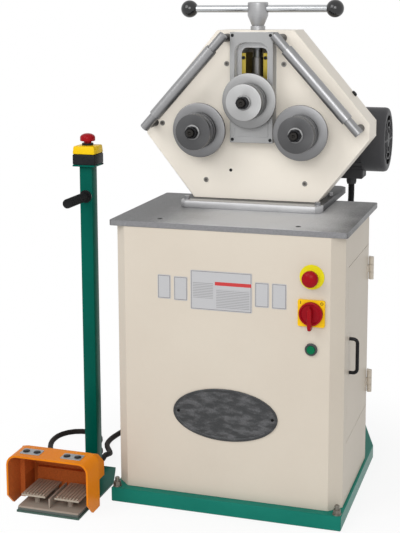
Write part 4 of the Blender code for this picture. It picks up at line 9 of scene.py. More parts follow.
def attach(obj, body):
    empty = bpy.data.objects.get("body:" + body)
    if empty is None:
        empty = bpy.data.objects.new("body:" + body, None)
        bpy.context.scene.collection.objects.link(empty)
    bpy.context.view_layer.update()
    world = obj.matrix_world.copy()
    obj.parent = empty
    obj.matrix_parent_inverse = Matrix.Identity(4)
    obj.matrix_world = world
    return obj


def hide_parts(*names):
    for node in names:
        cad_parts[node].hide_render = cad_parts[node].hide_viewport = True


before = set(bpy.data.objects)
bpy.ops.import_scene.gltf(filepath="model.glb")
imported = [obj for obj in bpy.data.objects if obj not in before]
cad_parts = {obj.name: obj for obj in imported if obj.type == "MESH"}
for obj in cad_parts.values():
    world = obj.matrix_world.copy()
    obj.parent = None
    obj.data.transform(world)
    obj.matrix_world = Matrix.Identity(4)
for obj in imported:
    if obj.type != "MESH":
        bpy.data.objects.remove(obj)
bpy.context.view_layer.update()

# Camera
# It stands before the machine's right front corner at eye height, with a long lens whose axis
# passes above the middle of the picture, so that upright edges stay upright.
PICTURE_WIDTH = 400
PICTURE_HEIGHT = 533
FOCAL_PIXELS = 1146.9
AXIS_ROW = 180.0
SENSOR_WIDTH = 36.0
EYE = Vector((0.7671, -2.8884, 1.2500))
EYE_YAW = 0.3102
EYE_PITCH = 0.1523
EYE_ROLL = -0.0044


def placed(name, data):
    """A new object in the scene."""
    obj = bpy.data.objects.new(name, data)
    bpy.context.scene.collection.objects.link(obj)
    return obj


lens = bpy.data.cameras.new("camera")
lens.sensor_width = SENSOR_WIDTH
lens.lens = FOCAL_PIXELS * SENSOR_WIDTH / PICTURE_HEIGHT
lens.shift_y = (AXIS_ROW - PICTURE_HEIGHT / 2) / PICTURE_HEIGHT
camera = placed("camera", lens)
camera.matrix_world = (Matrix.Translation(EYE) @ Matrix.Rotation(EYE_YAW, 4, "Z")
                       @ Matrix.Rotation(math.pi / 2 - EYE_PITCH, 4, "X")
                       @ Matrix.Rotation(EYE_ROLL, 4, "Z"))
bpy.context.scene.camera = camera


# Floor cables
# Two round rubber-sheathed cables, moulded black, held in glands: one from the foot pedal to the
# pedestal, and one from the pedestal to the cabinet. They lie on the floor in loose bends.
CABLE_DIAMETER = 0.015
CABLE_REST_HEIGHT = 0.0076
CABLE_PITCH = 0.020
CABLE_ROUND = 6
ROUTE_STEPS = 24
PEDAL_CABLE_ENDS = ((-0.440, -0.3010, 0.026), (-0.4232, -0.1167, 0.022))
PEDAL_CABLE_ROUTE = [
    (-0.444, -0.251, 0.0244), (-0.454, -0.219, 0.0207), (-0.471, -0.188, 0.0166),
    (-0.492, -0.162, 0.0140), (-0.519, -0.140, 0.0136), (-0.546, -0.119, 0.0118),
    (-0.570, -0.094, 0.0092), (-0.587, -0.065, 0.0077), (-0.600, -0.032, 0.0077),
    (-0.605, 0.002, 0.0077), (-0.600, 0.035, 0.0077), (-0.580, 0.063, 0.0077),
    (-0.549, 0.077, 0.0077), (-0.516, 0.074, 0.0077), (-0.488, 0.055, 0.0077),
    (-0.472, 0.024, 0.0077), (-0.466, -0.009, 0.0093), (-0.450, -0.040, 0.0142),
    (-0.432, -0.069, 0.0195)]
MACHINE_CABLE_ENDS = ((-0.4028, -0.1167, 0.022), (-0.200, 0.1093, 0.078))
MACHINE_CABLE_ROUTE = [
    (-0.404, -0.068, 0.0130), (-0.417, -0.040, 0.0085), (-0.434, -0.014, 0.0077),
    (-0.445, 0.014, 0.0077), (-0.447, 0.054, 0.0077), (-0.439, 0.104, 0.0077),
    (-0.430, 0.150, 0.0077), (-0.410, 0.192, 0.0082), (-0.372, 0.226, 0.0200),
    (-0.325, 0.239, 0.0400), (-0.275, 0.232, 0.0460), (-0.240, 0.213, 0.0465),
    (-0.214, 0.183, 0.0540), (-0.203, 0.150, 0.0700)]
RUBBER_BLACK = (34, 30, 28)
RUBBER_GRAIN = 0.0012
RUBBER_RELIEF = 0.00003
RUBBER_ROUGHNESS = 0.52
DUST_PATCH = 0.05
DUST_SPREAD = (0.42, 0.75)
DUST_SHARE = 0.6
DUST_LIFT = 22
DUST_ROUGHNESS = 0.15
SHEEN = 0.05
BEVEL_SAMPLES = 4
EDGE_TURN = (0.01, 0.20)
PATCH_MOTTLE = 0.003
PATCH_PALE = 1.12
PATCH_LIFT = 6
PATCH_DARK = 0.88


def screen(red, green, blue):
    """Linear light of a screen colour."""
    shares = [level / 255 for level in (red, green, blue)]
    return tuple(s / 12.92 if s <= 0.04045 else ((s + 0.055) / 1.055) ** 2.4 for s in shares) + (1.0,)


def lifted(colour, lift):
    """Linear light of a screen colour, some levels lighter or darker."""
    return screen(*[min(255, max(0, level + lift)) for level in colour])


class Value:
    """A number or colour that changes over a surface. Arithmetic on it adds Math nodes."""

    def __init__(self, shades, socket):
        self.shades = shades
        self.socket = socket

    def maths(self, operation, *numbers):
        return self.shades.node("Math", {"operation": operation}, dict(enumerate(numbers)))

    def __add__(self, other):
        return self.maths("ADD", self, other)

    def __radd__(self, other):
        return self + other

    def __sub__(self, other):
        return self.maths("SUBTRACT", self, other)

    def __rsub__(self, other):
        return self.maths("SUBTRACT", other, self)

    def __mul__(self, other):
        return self.maths("MULTIPLY", self, other)

    def __rmul__(self, other):
        return self * other

    def __truediv__(self, other):
        return self.maths("DIVIDE", self, other)

    def __gt__(self, other):
        return self.maths("GREATER_THAN", self, other)

    def __lt__(self, other):
        return self.maths("LESS_THAN", self, other)

    def __abs__(self):
        return self.maths("ABSOLUTE", self)

    def sharpen(self, low, high):
        """0 below low, 1 above high and smooth between."""
        return self.shades.node("MapRange", {"interpolation_type": "SMOOTHSTEP"},
                                {0: self, 1: low, 2: high})

    def largest(self, floor):
        """Itself where it is above a floor, and the floor elsewhere."""
        return self.maths("MAXIMUM", self, floor)


class Shades:
    """A tree of shader nodes. All that is added to it comes from node()."""

    def __init__(self, tree):
        self.tree = tree

    def node(self, kind, settings=None, sockets=None, out=0):
        """Add a node: its type, its settings, then the values or links of its sockets."""
        made = self.tree.nodes.new("ShaderNode" + kind)
        for key, value in (settings or {}).items():
            setattr(made, key, value)
        for key, value in (sockets or {}).items():
            self.feed(made.inputs[key], value)
        return Value(self, made.outputs[out])

    def feed(self, socket, value):
        """Link a value to a socket, or set a plain number or colour on it."""
        if isinstance(value, Value):
            self.tree.links.new(value.socket, socket)
        else:
            socket.default_value = value


class Coat(Shades):
    """The finish of a piece, by its colour, roughness, metal and relief over the surface."""

    def __init__(self, name, metallic=0.0, sheen=None):
        self.material = bpy.data.materials.new(name)
        self.material.use_nodes = True
        super().__init__(self.material.node_tree)
        self.shader = self.tree.nodes["Principled BSDF"]
        self.metallic = metallic
        self.shader.inputs["Metallic"].default_value = metallic
        if sheen is not None:
            self.shader.inputs["Specular IOR Level"].default_value = sheen
        self.place = self.node("TexCoord", out="Object")
        self.parts = self.node("SeparateXYZ", sockets={0: self.place})

    def along(self, axis):
        """Place along X, Y or Z, in metres."""
        return Value(self, self.parts.socket.node.outputs[axis])

    def radius(self):
        """Distance from the piece's own Z axis, in metres."""
        flat = self.node("VectorMath", {"operation": "MULTIPLY"}, {0: self.place, 1: (1, 1, 0)})
        return self.node("VectorMath", {"operation": "LENGTH"}, {0: flat}, out=1)

    def mix(self, share, first, second):
        """A colour between two."""
        return self.node("Mix", {"data_type": "RGBA"}, {0: share, 6: first, 7: second}, out=2)

    def noise(self, size, detail=2.0):
        """Noise about 0.5, its blotches of a size, or of a size along each axis, in metres."""
        sizes = size if isinstance(size, tuple) else (size, size, size)
        scaled = self.node("VectorMath", {"operation": "DIVIDE"}, {0: self.place, 1: sizes})
        return self.node("TexNoise", {}, {"Vector": scaled, "Scale": 1.0, "Detail": detail})

    def edge(self, radius):
        """1 on sharp edges, 0 on flats; and the normal rounded over them."""
        rounded = self.node("Bevel", {"samples": BEVEL_SAMPLES}, {"Radius": radius})
        flat = self.node("NewGeometry", out="Normal")
        same = self.node("VectorMath", {"operation": "DOT_PRODUCT"}, {0: rounded, 1: flat}, out=1)
        return (1.0 - same).sharpen(*EDGE_TURN), rounded

    def finish(self, colour, roughness, height=None, rounded=None, depth=1.0):
        """Feed the shader: colour, roughness and a relief whose height is in metres."""
        self.colour = colour
        self.roughness = roughness
        self.feed(self.shader.inputs["Base Color"], colour)
        self.feed(self.shader.inputs["Roughness"], roughness)
        if height is not None:
            sockets = {"Height": height, "Distance": depth, "Strength": 1.0}
            if rounded is not None:
                sockets["Normal"] = rounded
            self.feed(self.shader.inputs["Normal"], self.node("Bump", {}, sockets))
        elif rounded is not None:
            self.feed(self.shader.inputs["Normal"], rounded)
        return self

    def patch(self, mask, colour, roughness, metallic=0.0):
        """Give another finish where the mask is 1: to studs, glands or caps of the same piece."""
        mottle = self.noise(PATCH_MOTTLE)
        pale = screen(*[min(255, level * PATCH_PALE + PATCH_LIFT) for level in colour])
        dark = screen(*[level * PATCH_DARK for level in colour])
        self.colour = self.mix(mask, self.colour, self.mix(mottle, dark, pale))
        self.roughness = self.roughness * (1 - mask) + mask * roughness
        self.feed(self.shader.inputs["Base Color"], self.colour)
        self.feed(self.shader.inputs["Roughness"], self.roughness)
        self.metallic = mask * (metallic - self.metallic) + self.metallic
        self.feed(self.shader.inputs["Metallic"], self.metallic)
        return self

    def beyond(self, axis, limit, *finish):
        """Patch what lies past a limit along an axis."""
        return self.patch(self.along(axis) > limit, *finish)

    def short_of(self, axis, limit, *finish):
        """Patch what lies short of a limit along an axis."""
        return self.patch(self.along(axis) < limit, *finish)


def rubber(name, colour):
    """Matt black rubber: fine grain, dusty in patches."""
    coat = Coat(name, sheen=SHEEN)
    dust = coat.noise(DUST_PATCH, detail=4.0).sharpen(*DUST_SPREAD)
    grain = coat.noise(RUBBER_GRAIN)
    return coat.finish(coat.mix(dust * DUST_SHARE, screen(*colour), lifted(colour, DUST_LIFT)),
                       RUBBER_ROUGHNESS + DUST_ROUGHNESS * dust, grain * RUBBER_RELIEF)


def smooth_route(route, leaving, arriving, pitch):
    """Points an even pitch apart on a smooth curve through a route's points, which leaves the
    first point and arrives at the last one in the given directions."""
    knots = [Vector(point) for point in route]
    before = knots[1] - 2 * leaving * (knots[1] - knots[0]).length
    after = knots[-2] + 2 * arriving * (knots[-1] - knots[-2]).length
    knots = [before, *knots, after]
    fine = []
    for before, start, end, after in zip(knots, knots[1:], knots[2:], knots[3:]):
        for step in range(ROUTE_STEPS):
            t = step / ROUTE_STEPS
            fine.append(0.5 * (2 * start + (end - before) * t
                               + (2 * before - 5 * start + 4 * end - after) * t ** 2
                               + (3 * start - before - 3 * end + after) * t ** 3))
    fine.append(knots[-2])
    lengths = [0.0]
    for start, end in zip(fine, fine[1:]):
        lengths.append(lengths[-1] + (end - start).length)
    count = max(2, round(lengths[-1] / pitch))
    points = []
    cursor = 0
    for number in range(count + 1):
        target = lengths[-1] * number / count
        while cursor < len(lengths) - 2 and lengths[cursor + 1] < target:
            cursor += 1
        span = lengths[cursor + 1] - lengths[cursor]
        point = fine[cursor].lerp(fine[cursor + 1], (target - lengths[cursor]) / span)
        points.append(Vector((point.x, point.y, max(point.z, CABLE_REST_HEIGHT))))
    return points


def cable(name, points, diameter):
    """A round cable along points."""
    curve = bpy.data.curves.new(name, "CURVE")
    curve.dimensions = "3D"
    curve.bevel_depth = diameter / 2
    curve.bevel_resolution = CABLE_ROUND
    curve.use_fill_caps = True
    spline = curve.splines.new("POLY")
    spline.points.add(len(points) - 1)
    for point, place in zip(spline.points, points):
        point.co = (*place, 1)
    spline.use_smooth = True
    return placed(name, curve)


cable_sheath = rubber("cable_sheath", RUBBER_BLACK)
rearward = Vector((0, 1, 0))
for name, node, ends, route in (
        ("pedal_cable_sheath", "pedal_cable", PEDAL_CABLE_ENDS, PEDAL_CABLE_ROUTE),
        ("machine_cable_sheath", "machine_cable", MACHINE_CABLE_ENDS, MACHINE_CABLE_ROUTE)):
    start, end = (Vector(point) for point in ends)
    lead = CABLE_DIAMETER * rearward
    middle = smooth_route([start + lead, *route, end + lead], rearward, -rearward, CABLE_PITCH)
    points = [start, *middle, end]
    sheath = cable(name, points, CABLE_DIAMETER)
    sheath.data.materials.append(cable_sheath.material)
    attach(sheath, "machine")
    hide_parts(node)
    length = sum((b - a).length for a, b in zip(points, points[1:]))


# Floor and light
# A pale studio floor that fades into the white backdrop, two large soft lamps in front, the one on
# the operator's left higher than the other, and even light all round.
FLOOR_DROP = 0.0006
FLOOR_RADIUS = 30.0
FLOOR_SHADE = (246, 246, 246)
FLOOR_ROUGHNESS = 0.9
FLOOR_WHITE_SHARE = 0.86
FLOOR_FADE = (0.30, 0.82)
ROOM_LIGHT = 0.56
WHITE = (1, 1, 1, 1)
LAMP_POWER = 34
LAMPS = (("key_lamp", (-1.5, -2.4, 2.7), (0, 0, 1.0), 1.8),
         ("front_lamp", (0.7, -3.1, 2.0), (0, 0, 1.1), 1.6))


def shown_white(shades):
    """1 for rays from the camera, and for those that mirrors and glass send on."""
    seen, mirrored, through = (shades.node("LightPath", out=f"Is {kind} Ray")
                               for kind in ("Camera", "Glossy", "Transmission"))
    return seen + mirrored + through


floor_mesh = bpy.data.meshes.new("floor")
floor_shape = bmesh.new()
bmesh.ops.create_circle(floor_shape, cap_ends=True, radius=FLOOR_RADIUS, segments=64)
floor_shape.to_mesh(floor_mesh)
floor_shape.free()
floor = placed("floor", floor_mesh)
floor.location.z = -FLOOR_DROP
floor_coat = Coat("floor")
reach = floor_coat.node("VectorMath", {"operation": "LENGTH"}, {0: floor_coat.place}, out=1)
fade = reach.sharpen(*FLOOR_FADE)
glow = floor_coat.node("Emission", {}, {"Color": WHITE, "Strength": 1.0})
floor_coat.finish(screen(*FLOOR_SHADE), FLOOR_ROUGHNESS)
share = shown_white(floor_coat) * (FLOOR_WHITE_SHARE + (1 - FLOOR_WHITE_SHARE) * fade)
surface = floor_coat.node("MixShader", {}, {0: share, 2: glow})
floor_coat.tree.links.new(floor_coat.shader.outputs[0], surface.socket.node.inputs[1])
floor_coat.tree.links.new(surface.socket, floor_coat.tree.nodes["Material Output"].inputs[0])
floor_mesh.materials.append(floor_coat.material)

room = bpy.data.worlds.new("room")
room.use_nodes = True
bpy.context.scene.world = room
room_shades = Shades(room.node_tree)
backdrop = room.node_tree.nodes["Background"]
backdrop.inputs["Color"].default_value = WHITE
room_shades.feed(backdrop.inputs["Strength"],
                 ROOM_LIGHT + (1 - ROOM_LIGHT) * shown_white(room_shades))

for name, place, target, size in LAMPS:
    light = bpy.data.lights.new(name, "AREA")
    light.size = size
    light.energy = LAMP_POWER
    lamp = placed(name, light)
    lamp.location = place
    lamp.rotation_mode = "QUATERNION"
    lamp.rotation_quaternion = (Vector(target) - Vector(place)).to_track_quat("-Z", "Y")
bpy.context.scene.view_settings.view_transform = "Standard"


# Smooth shading of the carried-over pieces
# The solids come as facets. One node group on all of them welds the facets and shades them smooth,
# and keeps edges that are steeper than an angle sharp.
WELD_DISTANCE = 0.00002
SHARP_DEGREES = 38.0


def round_shading():
    """A node group that welds a faceted mesh and shades it smooth between its sharp edges."""
    group = bpy.data.node_groups.new("round_shading", "GeometryNodeTree")
    group.interface.new_socket("Geometry", in_out="INPUT", socket_type="NodeSocketGeometry")
    group.interface.new_socket("Geometry", in_out="OUTPUT", socket_type="NodeSocketGeometry")
    add = group.nodes.new
    start = add("NodeGroupInput")
    end = add("NodeGroupOutput")
    weld = add("GeometryNodeMergeByDistance")
    weld.inputs["Distance"].default_value = WELD_DISTANCE
    angle = add("GeometryNodeInputMeshEdgeAngle")
    steep = add("FunctionNodeCompare")
    steep.operation = "GREATER_THAN"
    steep.inputs["B"].default_value = math.radians(SHARP_DEGREES)
    faces = add("GeometryNodeSetShadeSmooth")
    edges = add("GeometryNodeSetShadeSmooth")
    edges.domain = "EDGE"
    edges.inputs["Shade Smooth"].default_value = False
    link = group.links.new
    link(start.outputs[0], weld.inputs[0])
    link(weld.outputs[0], faces.inputs["Geometry"])
    link(faces.outputs[0], edges.inputs["Geometry"])
    link(angle.outputs["Unsigned Angle"], steep.inputs["A"])
    link(steep.outputs[0], edges.inputs["Selection"])
    link(edges.outputs[0], end.inputs[0])
    return group


rounding = round_shading()
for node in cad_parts.values():
    if not node.hide_render:
        node.modifiers.new("round_shading", "NODES").node_group = rounding


# Plinth
# A welded steel plinth in green gloss enamel, held to the floor by four zinc-plated studs with
# washers and nuts.
# The plinth and the post carry one green paint: the plinth's copy is painted lighter as painted light,
# the post's darker as painted shade.
PLINTH_GREEN_PAINTED_LIGHTER = (30, 126, 110)
PLINTH_GREEN_PAINTED_LIGHTER_CLOUD = (22, 112, 97)
PLINTH_TOP = 0.0372
STUD_ZINC = (118, 114, 106)
ENAMEL_CLOUD = 0.22
ENAMEL_CLOUD_SPREAD = (0.25, 0.75)
ENAMEL_MOTTLE = 0.012
CLOUD_SHARE = 0.7
MOTTLE_SHARE = 0.3
ENAMEL_EDGE = 0.0011
ENAMEL_EDGE_LIFT = 24
ENAMEL_GLOSS_CHANGE = 0.10


def dress(coat, *names):
    """Give carried-over pieces a finish."""
    for name in names:
        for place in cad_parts[name].material_slots:
            place.material = coat.material


def enamel(name, colour, shade, roughness=0.36, peel=0.000012, peel_size=0.0022, worn=0.25):
    """Sprayed enamel: orange peel, faint clouds, and edges where it lies thinner."""
    coat = Coat(name, sheen=SHEEN)
    cloud = coat.noise(ENAMEL_CLOUD, detail=3.0).sharpen(*ENAMEL_CLOUD_SPREAD)
    mottle = coat.noise(ENAMEL_MOTTLE, detail=3.0)
    edge, rounded = coat.edge(ENAMEL_EDGE)
    body = coat.mix(cloud * CLOUD_SHARE + mottle * MOTTLE_SHARE, screen(*shade), screen(*colour))
    ripple = coat.noise(peel_size, detail=1.0)
    return coat.finish(coat.mix(edge * worn, body, lifted(colour, ENAMEL_EDGE_LIFT)),
                       roughness + (mottle - 0.5) * ENAMEL_GLOSS_CHANGE, ripple * peel, rounded)


plinth_green_painted_lighter = enamel("plinth_green_painted_lighter", PLINTH_GREEN_PAINTED_LIGHTER, PLINTH_GREEN_PAINTED_LIGHTER_CLOUD, roughness=0.30)
dress(plinth_green_painted_lighter.beyond("Z", PLINTH_TOP, STUD_ZINC, 0.42, 0.8), "base_frame")


# Cabinet, door and hinges
# Folded and welded steel sheet, sprayed with thick cream enamel that has a faint orange peel.
# The rear wall carries a cable gland and a conduit gland of black nylon.
CREAM = (211, 202, 188)
CREAM_SHADE = (206, 196, 182)
CABINET_REAR = 0.0832
GLAND_BLACK = (34, 34, 36)

cream = enamel("cream_enamel", CREAM, CREAM_SHADE)
dress(cream, "cabinet_door", "door_hinge_upper", "door_hinge_lower")
cabinet_cream = enamel("cabinet_cream", CREAM, CREAM_SHADE)
dress(cabinet_cream.beyond("Y", CABINET_REAR, GLAND_BLACK, 0.5), "cabinet_shell")


# Door pull
# A bow pull moulded in black nylon, screwed to the door from behind.
NYLON_BLACK = (30, 30, 32)
MOULDED_CLOUD = 0.03
MOULDED_GRAIN = 0.0006
MOULDED_EDGE = 0.0007
MOULDED_GLOSS_CHANGE = 0.12


def moulded(name, colour, roughness=0.38, relief=0.000006, spread=8, sheen=0.10):
    """Moulded plastic: a fine spark-eroded grain and soft edges."""
    coat = Coat(name, sheen=sheen)
    cloud = coat.noise(MOULDED_CLOUD, detail=3.0)
    grain = coat.noise(MOULDED_GRAIN, detail=2.0)
    edge, rounded = coat.edge(MOULDED_EDGE)
    body = coat.mix(cloud, lifted(colour, -spread), lifted(colour, spread))
    return coat.finish(coat.mix(edge * 0.5, body, lifted(colour, 3 * spread)),
                       roughness + (cloud - 0.5) * MOULDED_GLOSS_CHANGE, grain * relief, rounded)


nylon = moulded("black_nylon", NYLON_BLACK, roughness=0.30)
dress(nylon, "door_pull")


# Plates on the cabinet's front
# Thin anodised plates stuck on the front: one large one with ruled blank lines and a plain band,
# and four small blank ones.
FRONT = -0.303
FORWARD = (0, -1, 0)
PLATE_THICKNESS = 0.0009
PLATE_CORNER = 0.003
PLATE_EDGE = 0.0002
LARGE_PLATE = (-0.087, 0.514, 0.068, 0.612)
SMALL_PLATES = ((-0.172, 0.535, -0.138, 0.595), (-0.130, 0.533, -0.095, 0.593),
                (0.075, 0.531, 0.110, 0.592), (0.117, 0.530, 0.153, 0.592))
PLATE_SILVER = (192, 192, 194)
PLATE_LINE = (112, 110, 112)
PLATE_BAND = (196, 58, 58)
BORDER_INNER = 0.0030
BORDER_OUTER = 0.0018
RULED_BLOCKS = ((-0.0715, -0.0200, -0.0196, 0.0196), (-0.0120, 0.0715, -0.04312, 0.0049))
RULE_PITCH = 0.098 / 24
RULE_SHARE = 0.42
RULE_STRENGTH = 0.55
BAND_HEIGHT = 0.01862
BAND_HALF_WIDTH = 0.0044
BAND_ENDS = (-0.0155, 0.0760)


def skin(name, loops, coat, place, facing=FORWARD, body="machine", ring=False):
    """A closed piece through loops of points, its own Z axis along facing from its place."""
    shape = bmesh.new()
    rows = [[shape.verts.new(point) for point in loop] for loop in loops]
    pairs = list(zip(rows, rows[1:]))
    if ring:
        pairs.append((rows[-1], rows[0]))
    else:
        for end in (rows[0], rows[-1]):
            if (end[0].co - end[len(end) // 2].co).length > WELD_DISTANCE:
                shape.faces.new(end)
    for low, high in pairs:
        for here, there in zip(range(len(low)), [*range(1, len(low)), 0]):
            shape.faces.new((low[here], low[there], high[there], high[here]))
    bmesh.ops.remove_doubles(shape, verts=shape.verts[:], dist=WELD_DISTANCE / 10)
    bmesh.ops.recalc_face_normals(shape, faces=shape.faces[:])
    mesh = bpy.data.meshes.new(name)
    shape.to_mesh(mesh)
    shape.free()
    mesh.materials.append(coat.material)
    obj = placed(name, mesh)
    obj.matrix_world = (Matrix.Translation(place)
                        @ Vector((0, 0, 1)).rotation_difference(Vector(facing)).to_matrix().to_4x4())
    obj.modifiers.new("round_shading", "NODES").node_group = rounding
    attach(obj, body)
    return obj


def round_corners(width, depth, radius, height, steps=5):
    """A loop of points round a rectangle with round corners, about Z."""
    loop = []
    for quarter, (side, end) in enumerate(((1, 1), (-1, 1), (-1, -1), (1, -1))):
        for step in range(steps + 1):
            angle = math.pi / 2 * (quarter + step / steps)
            loop.append((side * (width / 2 - radius) + radius * math.cos(angle),
                         end * (depth / 2 - radius) + radius * math.sin(angle), height))
    return loop


def slab(name, size, radius, edge, coat, place, facing=FORWARD, body="machine", foot=-0.0002):
    """A plate with round corners and a broken front edge."""
    width, depth, thickness = size
    loops = [round_corners(width, depth, radius, foot),
             round_corners(width, depth, radius, thickness - edge),
             round_corners(width - 2 * edge, depth - 2 * edge, radius - edge, thickness)]
    return skin(name, loops, coat, place, facing, body)


def printed(name, half_width, half_depth, ruled):
    """An anodised plate: a thin border line, and on the large one ruled lines and a band."""
    coat = Coat(name, metallic=0.35)
    grain = coat.noise((0.020, 0.0006, 0.020), detail=3.0)
    colour = coat.mix(grain, lifted(PLATE_SILVER, -10), screen(*PLATE_SILVER))
    across = coat.along("X")
    up = coat.along("Y")
    frames = [((abs(across) > half_width - inset) + (abs(up) > half_depth - inset)).sharpen(0.4, 0.6)
              for inset in (BORDER_INNER, BORDER_OUTER)]
    colour = coat.mix(frames[0] * (1 - frames[1]), colour, screen(*PLATE_LINE))
    if ruled:
        blocks = [(across > left) * (across < right) * (up < high) * (up > low)
                  for left, right, low, high in RULED_BLOCKS]
        wave = up.maths("FRACT", (up + 1) / RULE_PITCH)
        rules = (wave < RULE_SHARE) * (blocks[0] + blocks[1]) * RULE_STRENGTH
        colour = coat.mix(rules, colour, screen(*PLATE_LINE))
        band = (abs(up - BAND_HEIGHT) < BAND_HALF_WIDTH) * (across > BAND_ENDS[0])
        colour = coat.mix(band * (across < BAND_ENDS[1]), colour, screen(*PLATE_BAND))
    return coat.finish(colour, 0.34 + (grain - 0.5) * 0.1, grain * 0.000003)


for number, (left, low, right, high) in enumerate((LARGE_PLATE, *SMALL_PLATES)):
    half_width = (right - left) / 2
    half_depth = (high - low) / 2
    coat = printed(f"plate_print_{number}", half_width, half_depth, ruled=number == 0)
    slab(f"front_plate_{number}", (2 * half_width, 2 * half_depth, PLATE_THICKNESS), PLATE_CORNER,
         PLATE_EDGE, coat, ((left + right) / 2, FRONT, (low + high) / 2))


# Oval plaque
# A cast oval plaque, left blank: a raised rim round a pebbled dark ground, worn bright in places,
# and held on the cabinet's front by two pins with domed heads.
PLAQUE_PLACE = (0.0, FRONT, 0.252)
PLAQUE_HALF_WIDTH = 0.133
PLAQUE_HALF_HEIGHT = 0.066
PLAQUE_GROUND = 0.0016
PLAQUE_RIM = 0.0040
PLAQUE_SECTION = ((0, -0.0002), (0, 0.0030), (0.0012, PLAQUE_RIM), (0.0054, PLAQUE_RIM),
                  (0.0070, PLAQUE_GROUND))
PLAQUE_RISE = (0.0020, 0.0034)
PLAQUE_DARK = (60, 61, 62)
PLAQUE_WORN = (106, 106, 108)
PEBBLES_PER_METRE = 420.0
PEBBLE_DEPTH = 0.0004
CAST_CLOUD = (0.036, 0.014, 0.02)
CAST_CLOUD_SPREAD = (0.38, 0.66)
CAST_CLOUD_DEPTH = 0.0030
CAST_GRAIN = 0.0030
CAST_EDGE = 0.0012
METAL_STAIN = 0.05
METAL_STAIN_SPREAD = (0.30, 0.75)
METAL_STAIN_ROUGHNESS = 0.08
METAL_EDGE = 0.0007
# Metal edges are lifted this much: partly wear, partly a painted glint.
METAL_WEAR_AND_GLINT = 45
SIDES = ((-1, "left"), (1, "right"))
PIN_X = 0.120
PIN_BLACK = (30, 30, 30)
PIN_PROFILE = ((0, 0), (0.0036, 0), (0.0036, 0.0008), (0.0030, 0.0022), (0.0016, 0.0029),
               (0, 0.0031))


def oval(half_width, half_height, height, count=96):
    """A loop of points round an ellipse about Z."""
    turns = [math.tau * number / count for number in range(count)]
    return [(half_width * math.cos(t), half_height * math.sin(t), height) for t in turns]


def circle(radius, height, count=72, corner=0):
    """A loop of points about Z. A corner radius keeps them inside a hexagon."""
    loop = []
    for number in range(count):
        angle = math.tau * number / count
        reach = radius
        if corner:
            flat = corner * math.cos(math.pi / 6)
            reach = min(radius, flat / math.cos(angle % (math.pi / 3) - math.pi / 6))
        loop.append((reach * math.cos(angle), reach * math.sin(angle), height))
    return loop


def turned(name, profile, coat, place, facing=FORWARD, body="machine", ring=False, count=72):
    """A turned piece: a profile of radius, height and, on a hexagon, its corner radius."""
    loops = [circle(radius, height, count, *corner) for radius, height, *corner in profile]
    return skin(name, loops, coat, place, facing, body, ring)


def metal(name, colour, roughness, grain, relief=0.0000015, spread=14, metallic=1.0):
    """Bare metal: tool marks stretched along one way, faint stains, and bright edges, partly wear and
    partly a painted glint.
    """
    coat = Coat(name, metallic)
    streak = coat.noise(grain, detail=3.0)
    stain = coat.noise(METAL_STAIN, detail=4.0).sharpen(*METAL_STAIN_SPREAD)
    edge, rounded = coat.edge(METAL_EDGE)
    body = coat.mix(streak * 0.75 + stain * 0.25, lifted(colour, -spread), lifted(colour, spread))
    return coat.finish(coat.mix(edge * 0.6, body, lifted(colour, METAL_WEAR_AND_GLINT)),
                       roughness + (streak - 0.5) * 0.12 + stain * METAL_STAIN_ROUGHNESS,
                       streak * relief, rounded)


plaque_coat = Coat("plaque_cast", metallic=0.6)
pebble = plaque_coat.node("TexVoronoi", {"feature": "F1"},
                          {"Vector": plaque_coat.place, "Scale": PEBBLES_PER_METRE})
cloud = plaque_coat.noise(CAST_CLOUD, detail=5.0)
grain = plaque_coat.noise(CAST_GRAIN, detail=3.0)
edge, rounded = plaque_coat.edge(CAST_EDGE)
raised = plaque_coat.along("Z").sharpen(*PLAQUE_RISE)
worn = cloud.sharpen(*CAST_CLOUD_SPREAD) * 0.6 + (grain - 0.5) * 0.7 + edge * 0.6 - raised * 0.25
tone = plaque_coat.mix(worn.sharpen(-0.1, 1.1), screen(*PLAQUE_DARK), screen(*PLAQUE_WORN))
relief = (pebble * (1 - raised)) * -PEBBLE_DEPTH + (cloud * (1 - raised)) * CAST_CLOUD_DEPTH
plaque_coat.finish(tone, 0.46 + (cloud - 0.5) * 0.2, relief, rounded)
skin("oval_plaque", [oval(PLAQUE_HALF_WIDTH - inset, PLAQUE_HALF_HEIGHT - inset, height)
                     for inset, height in PLAQUE_SECTION], plaque_coat, PLAQUE_PLACE)
pin_black = metal("pin_black", PIN_BLACK, 0.34, 0.0008, spread=6)
for side, word in SIDES:
    turned(f"plaque_pin_{word}", PIN_PROFILE, pin_black,
           (side * PIN_X, FRONT - PLAQUE_GROUND, PLAQUE_PLACE[2]), count=36)


# Controls
# Moulded switchgear through the cabinet's front: a red mushroom on a bare yellow disc, a rotary
# main switch on a square yellow plate with 0 and 1, and a green start button in its bezel.
CONTROLS_X = 0.214
CONTROLS_FACE = FRONT - 0.0003
STOP_PLACE = (CONTROLS_X, CONTROLS_FACE - 0.0169, 0.614)
SWITCH_PLACE = (CONTROLS_X, CONTROLS_FACE - 0.0063, 0.527)
START_PLACE = (CONTROLS_X, CONTROLS_FACE, 0.438)
SIGNAL_RED = (152, 12, 22)
SWITCH_RED = (150, 12, 26)
SIGNAL_YELLOW = (226, 214, 30)
PLATE_YELLOW = (240, 192, 22)
START_GREEN = (0, 106, 68)
BEZEL_GREY = (74, 76, 78)
MARK_BLACK = (26, 26, 28)
SWITCH_DISC_PROFILE = (
    (0, 0), (0.0285, 0), (0.0285, 0.0082), (0.0278, 0.0096), (0.0266, 0.0100), (0.0246, 0.0100),
    (0.0236, 0.0092), (0.0226, 0.0066), (0, 0.0066))
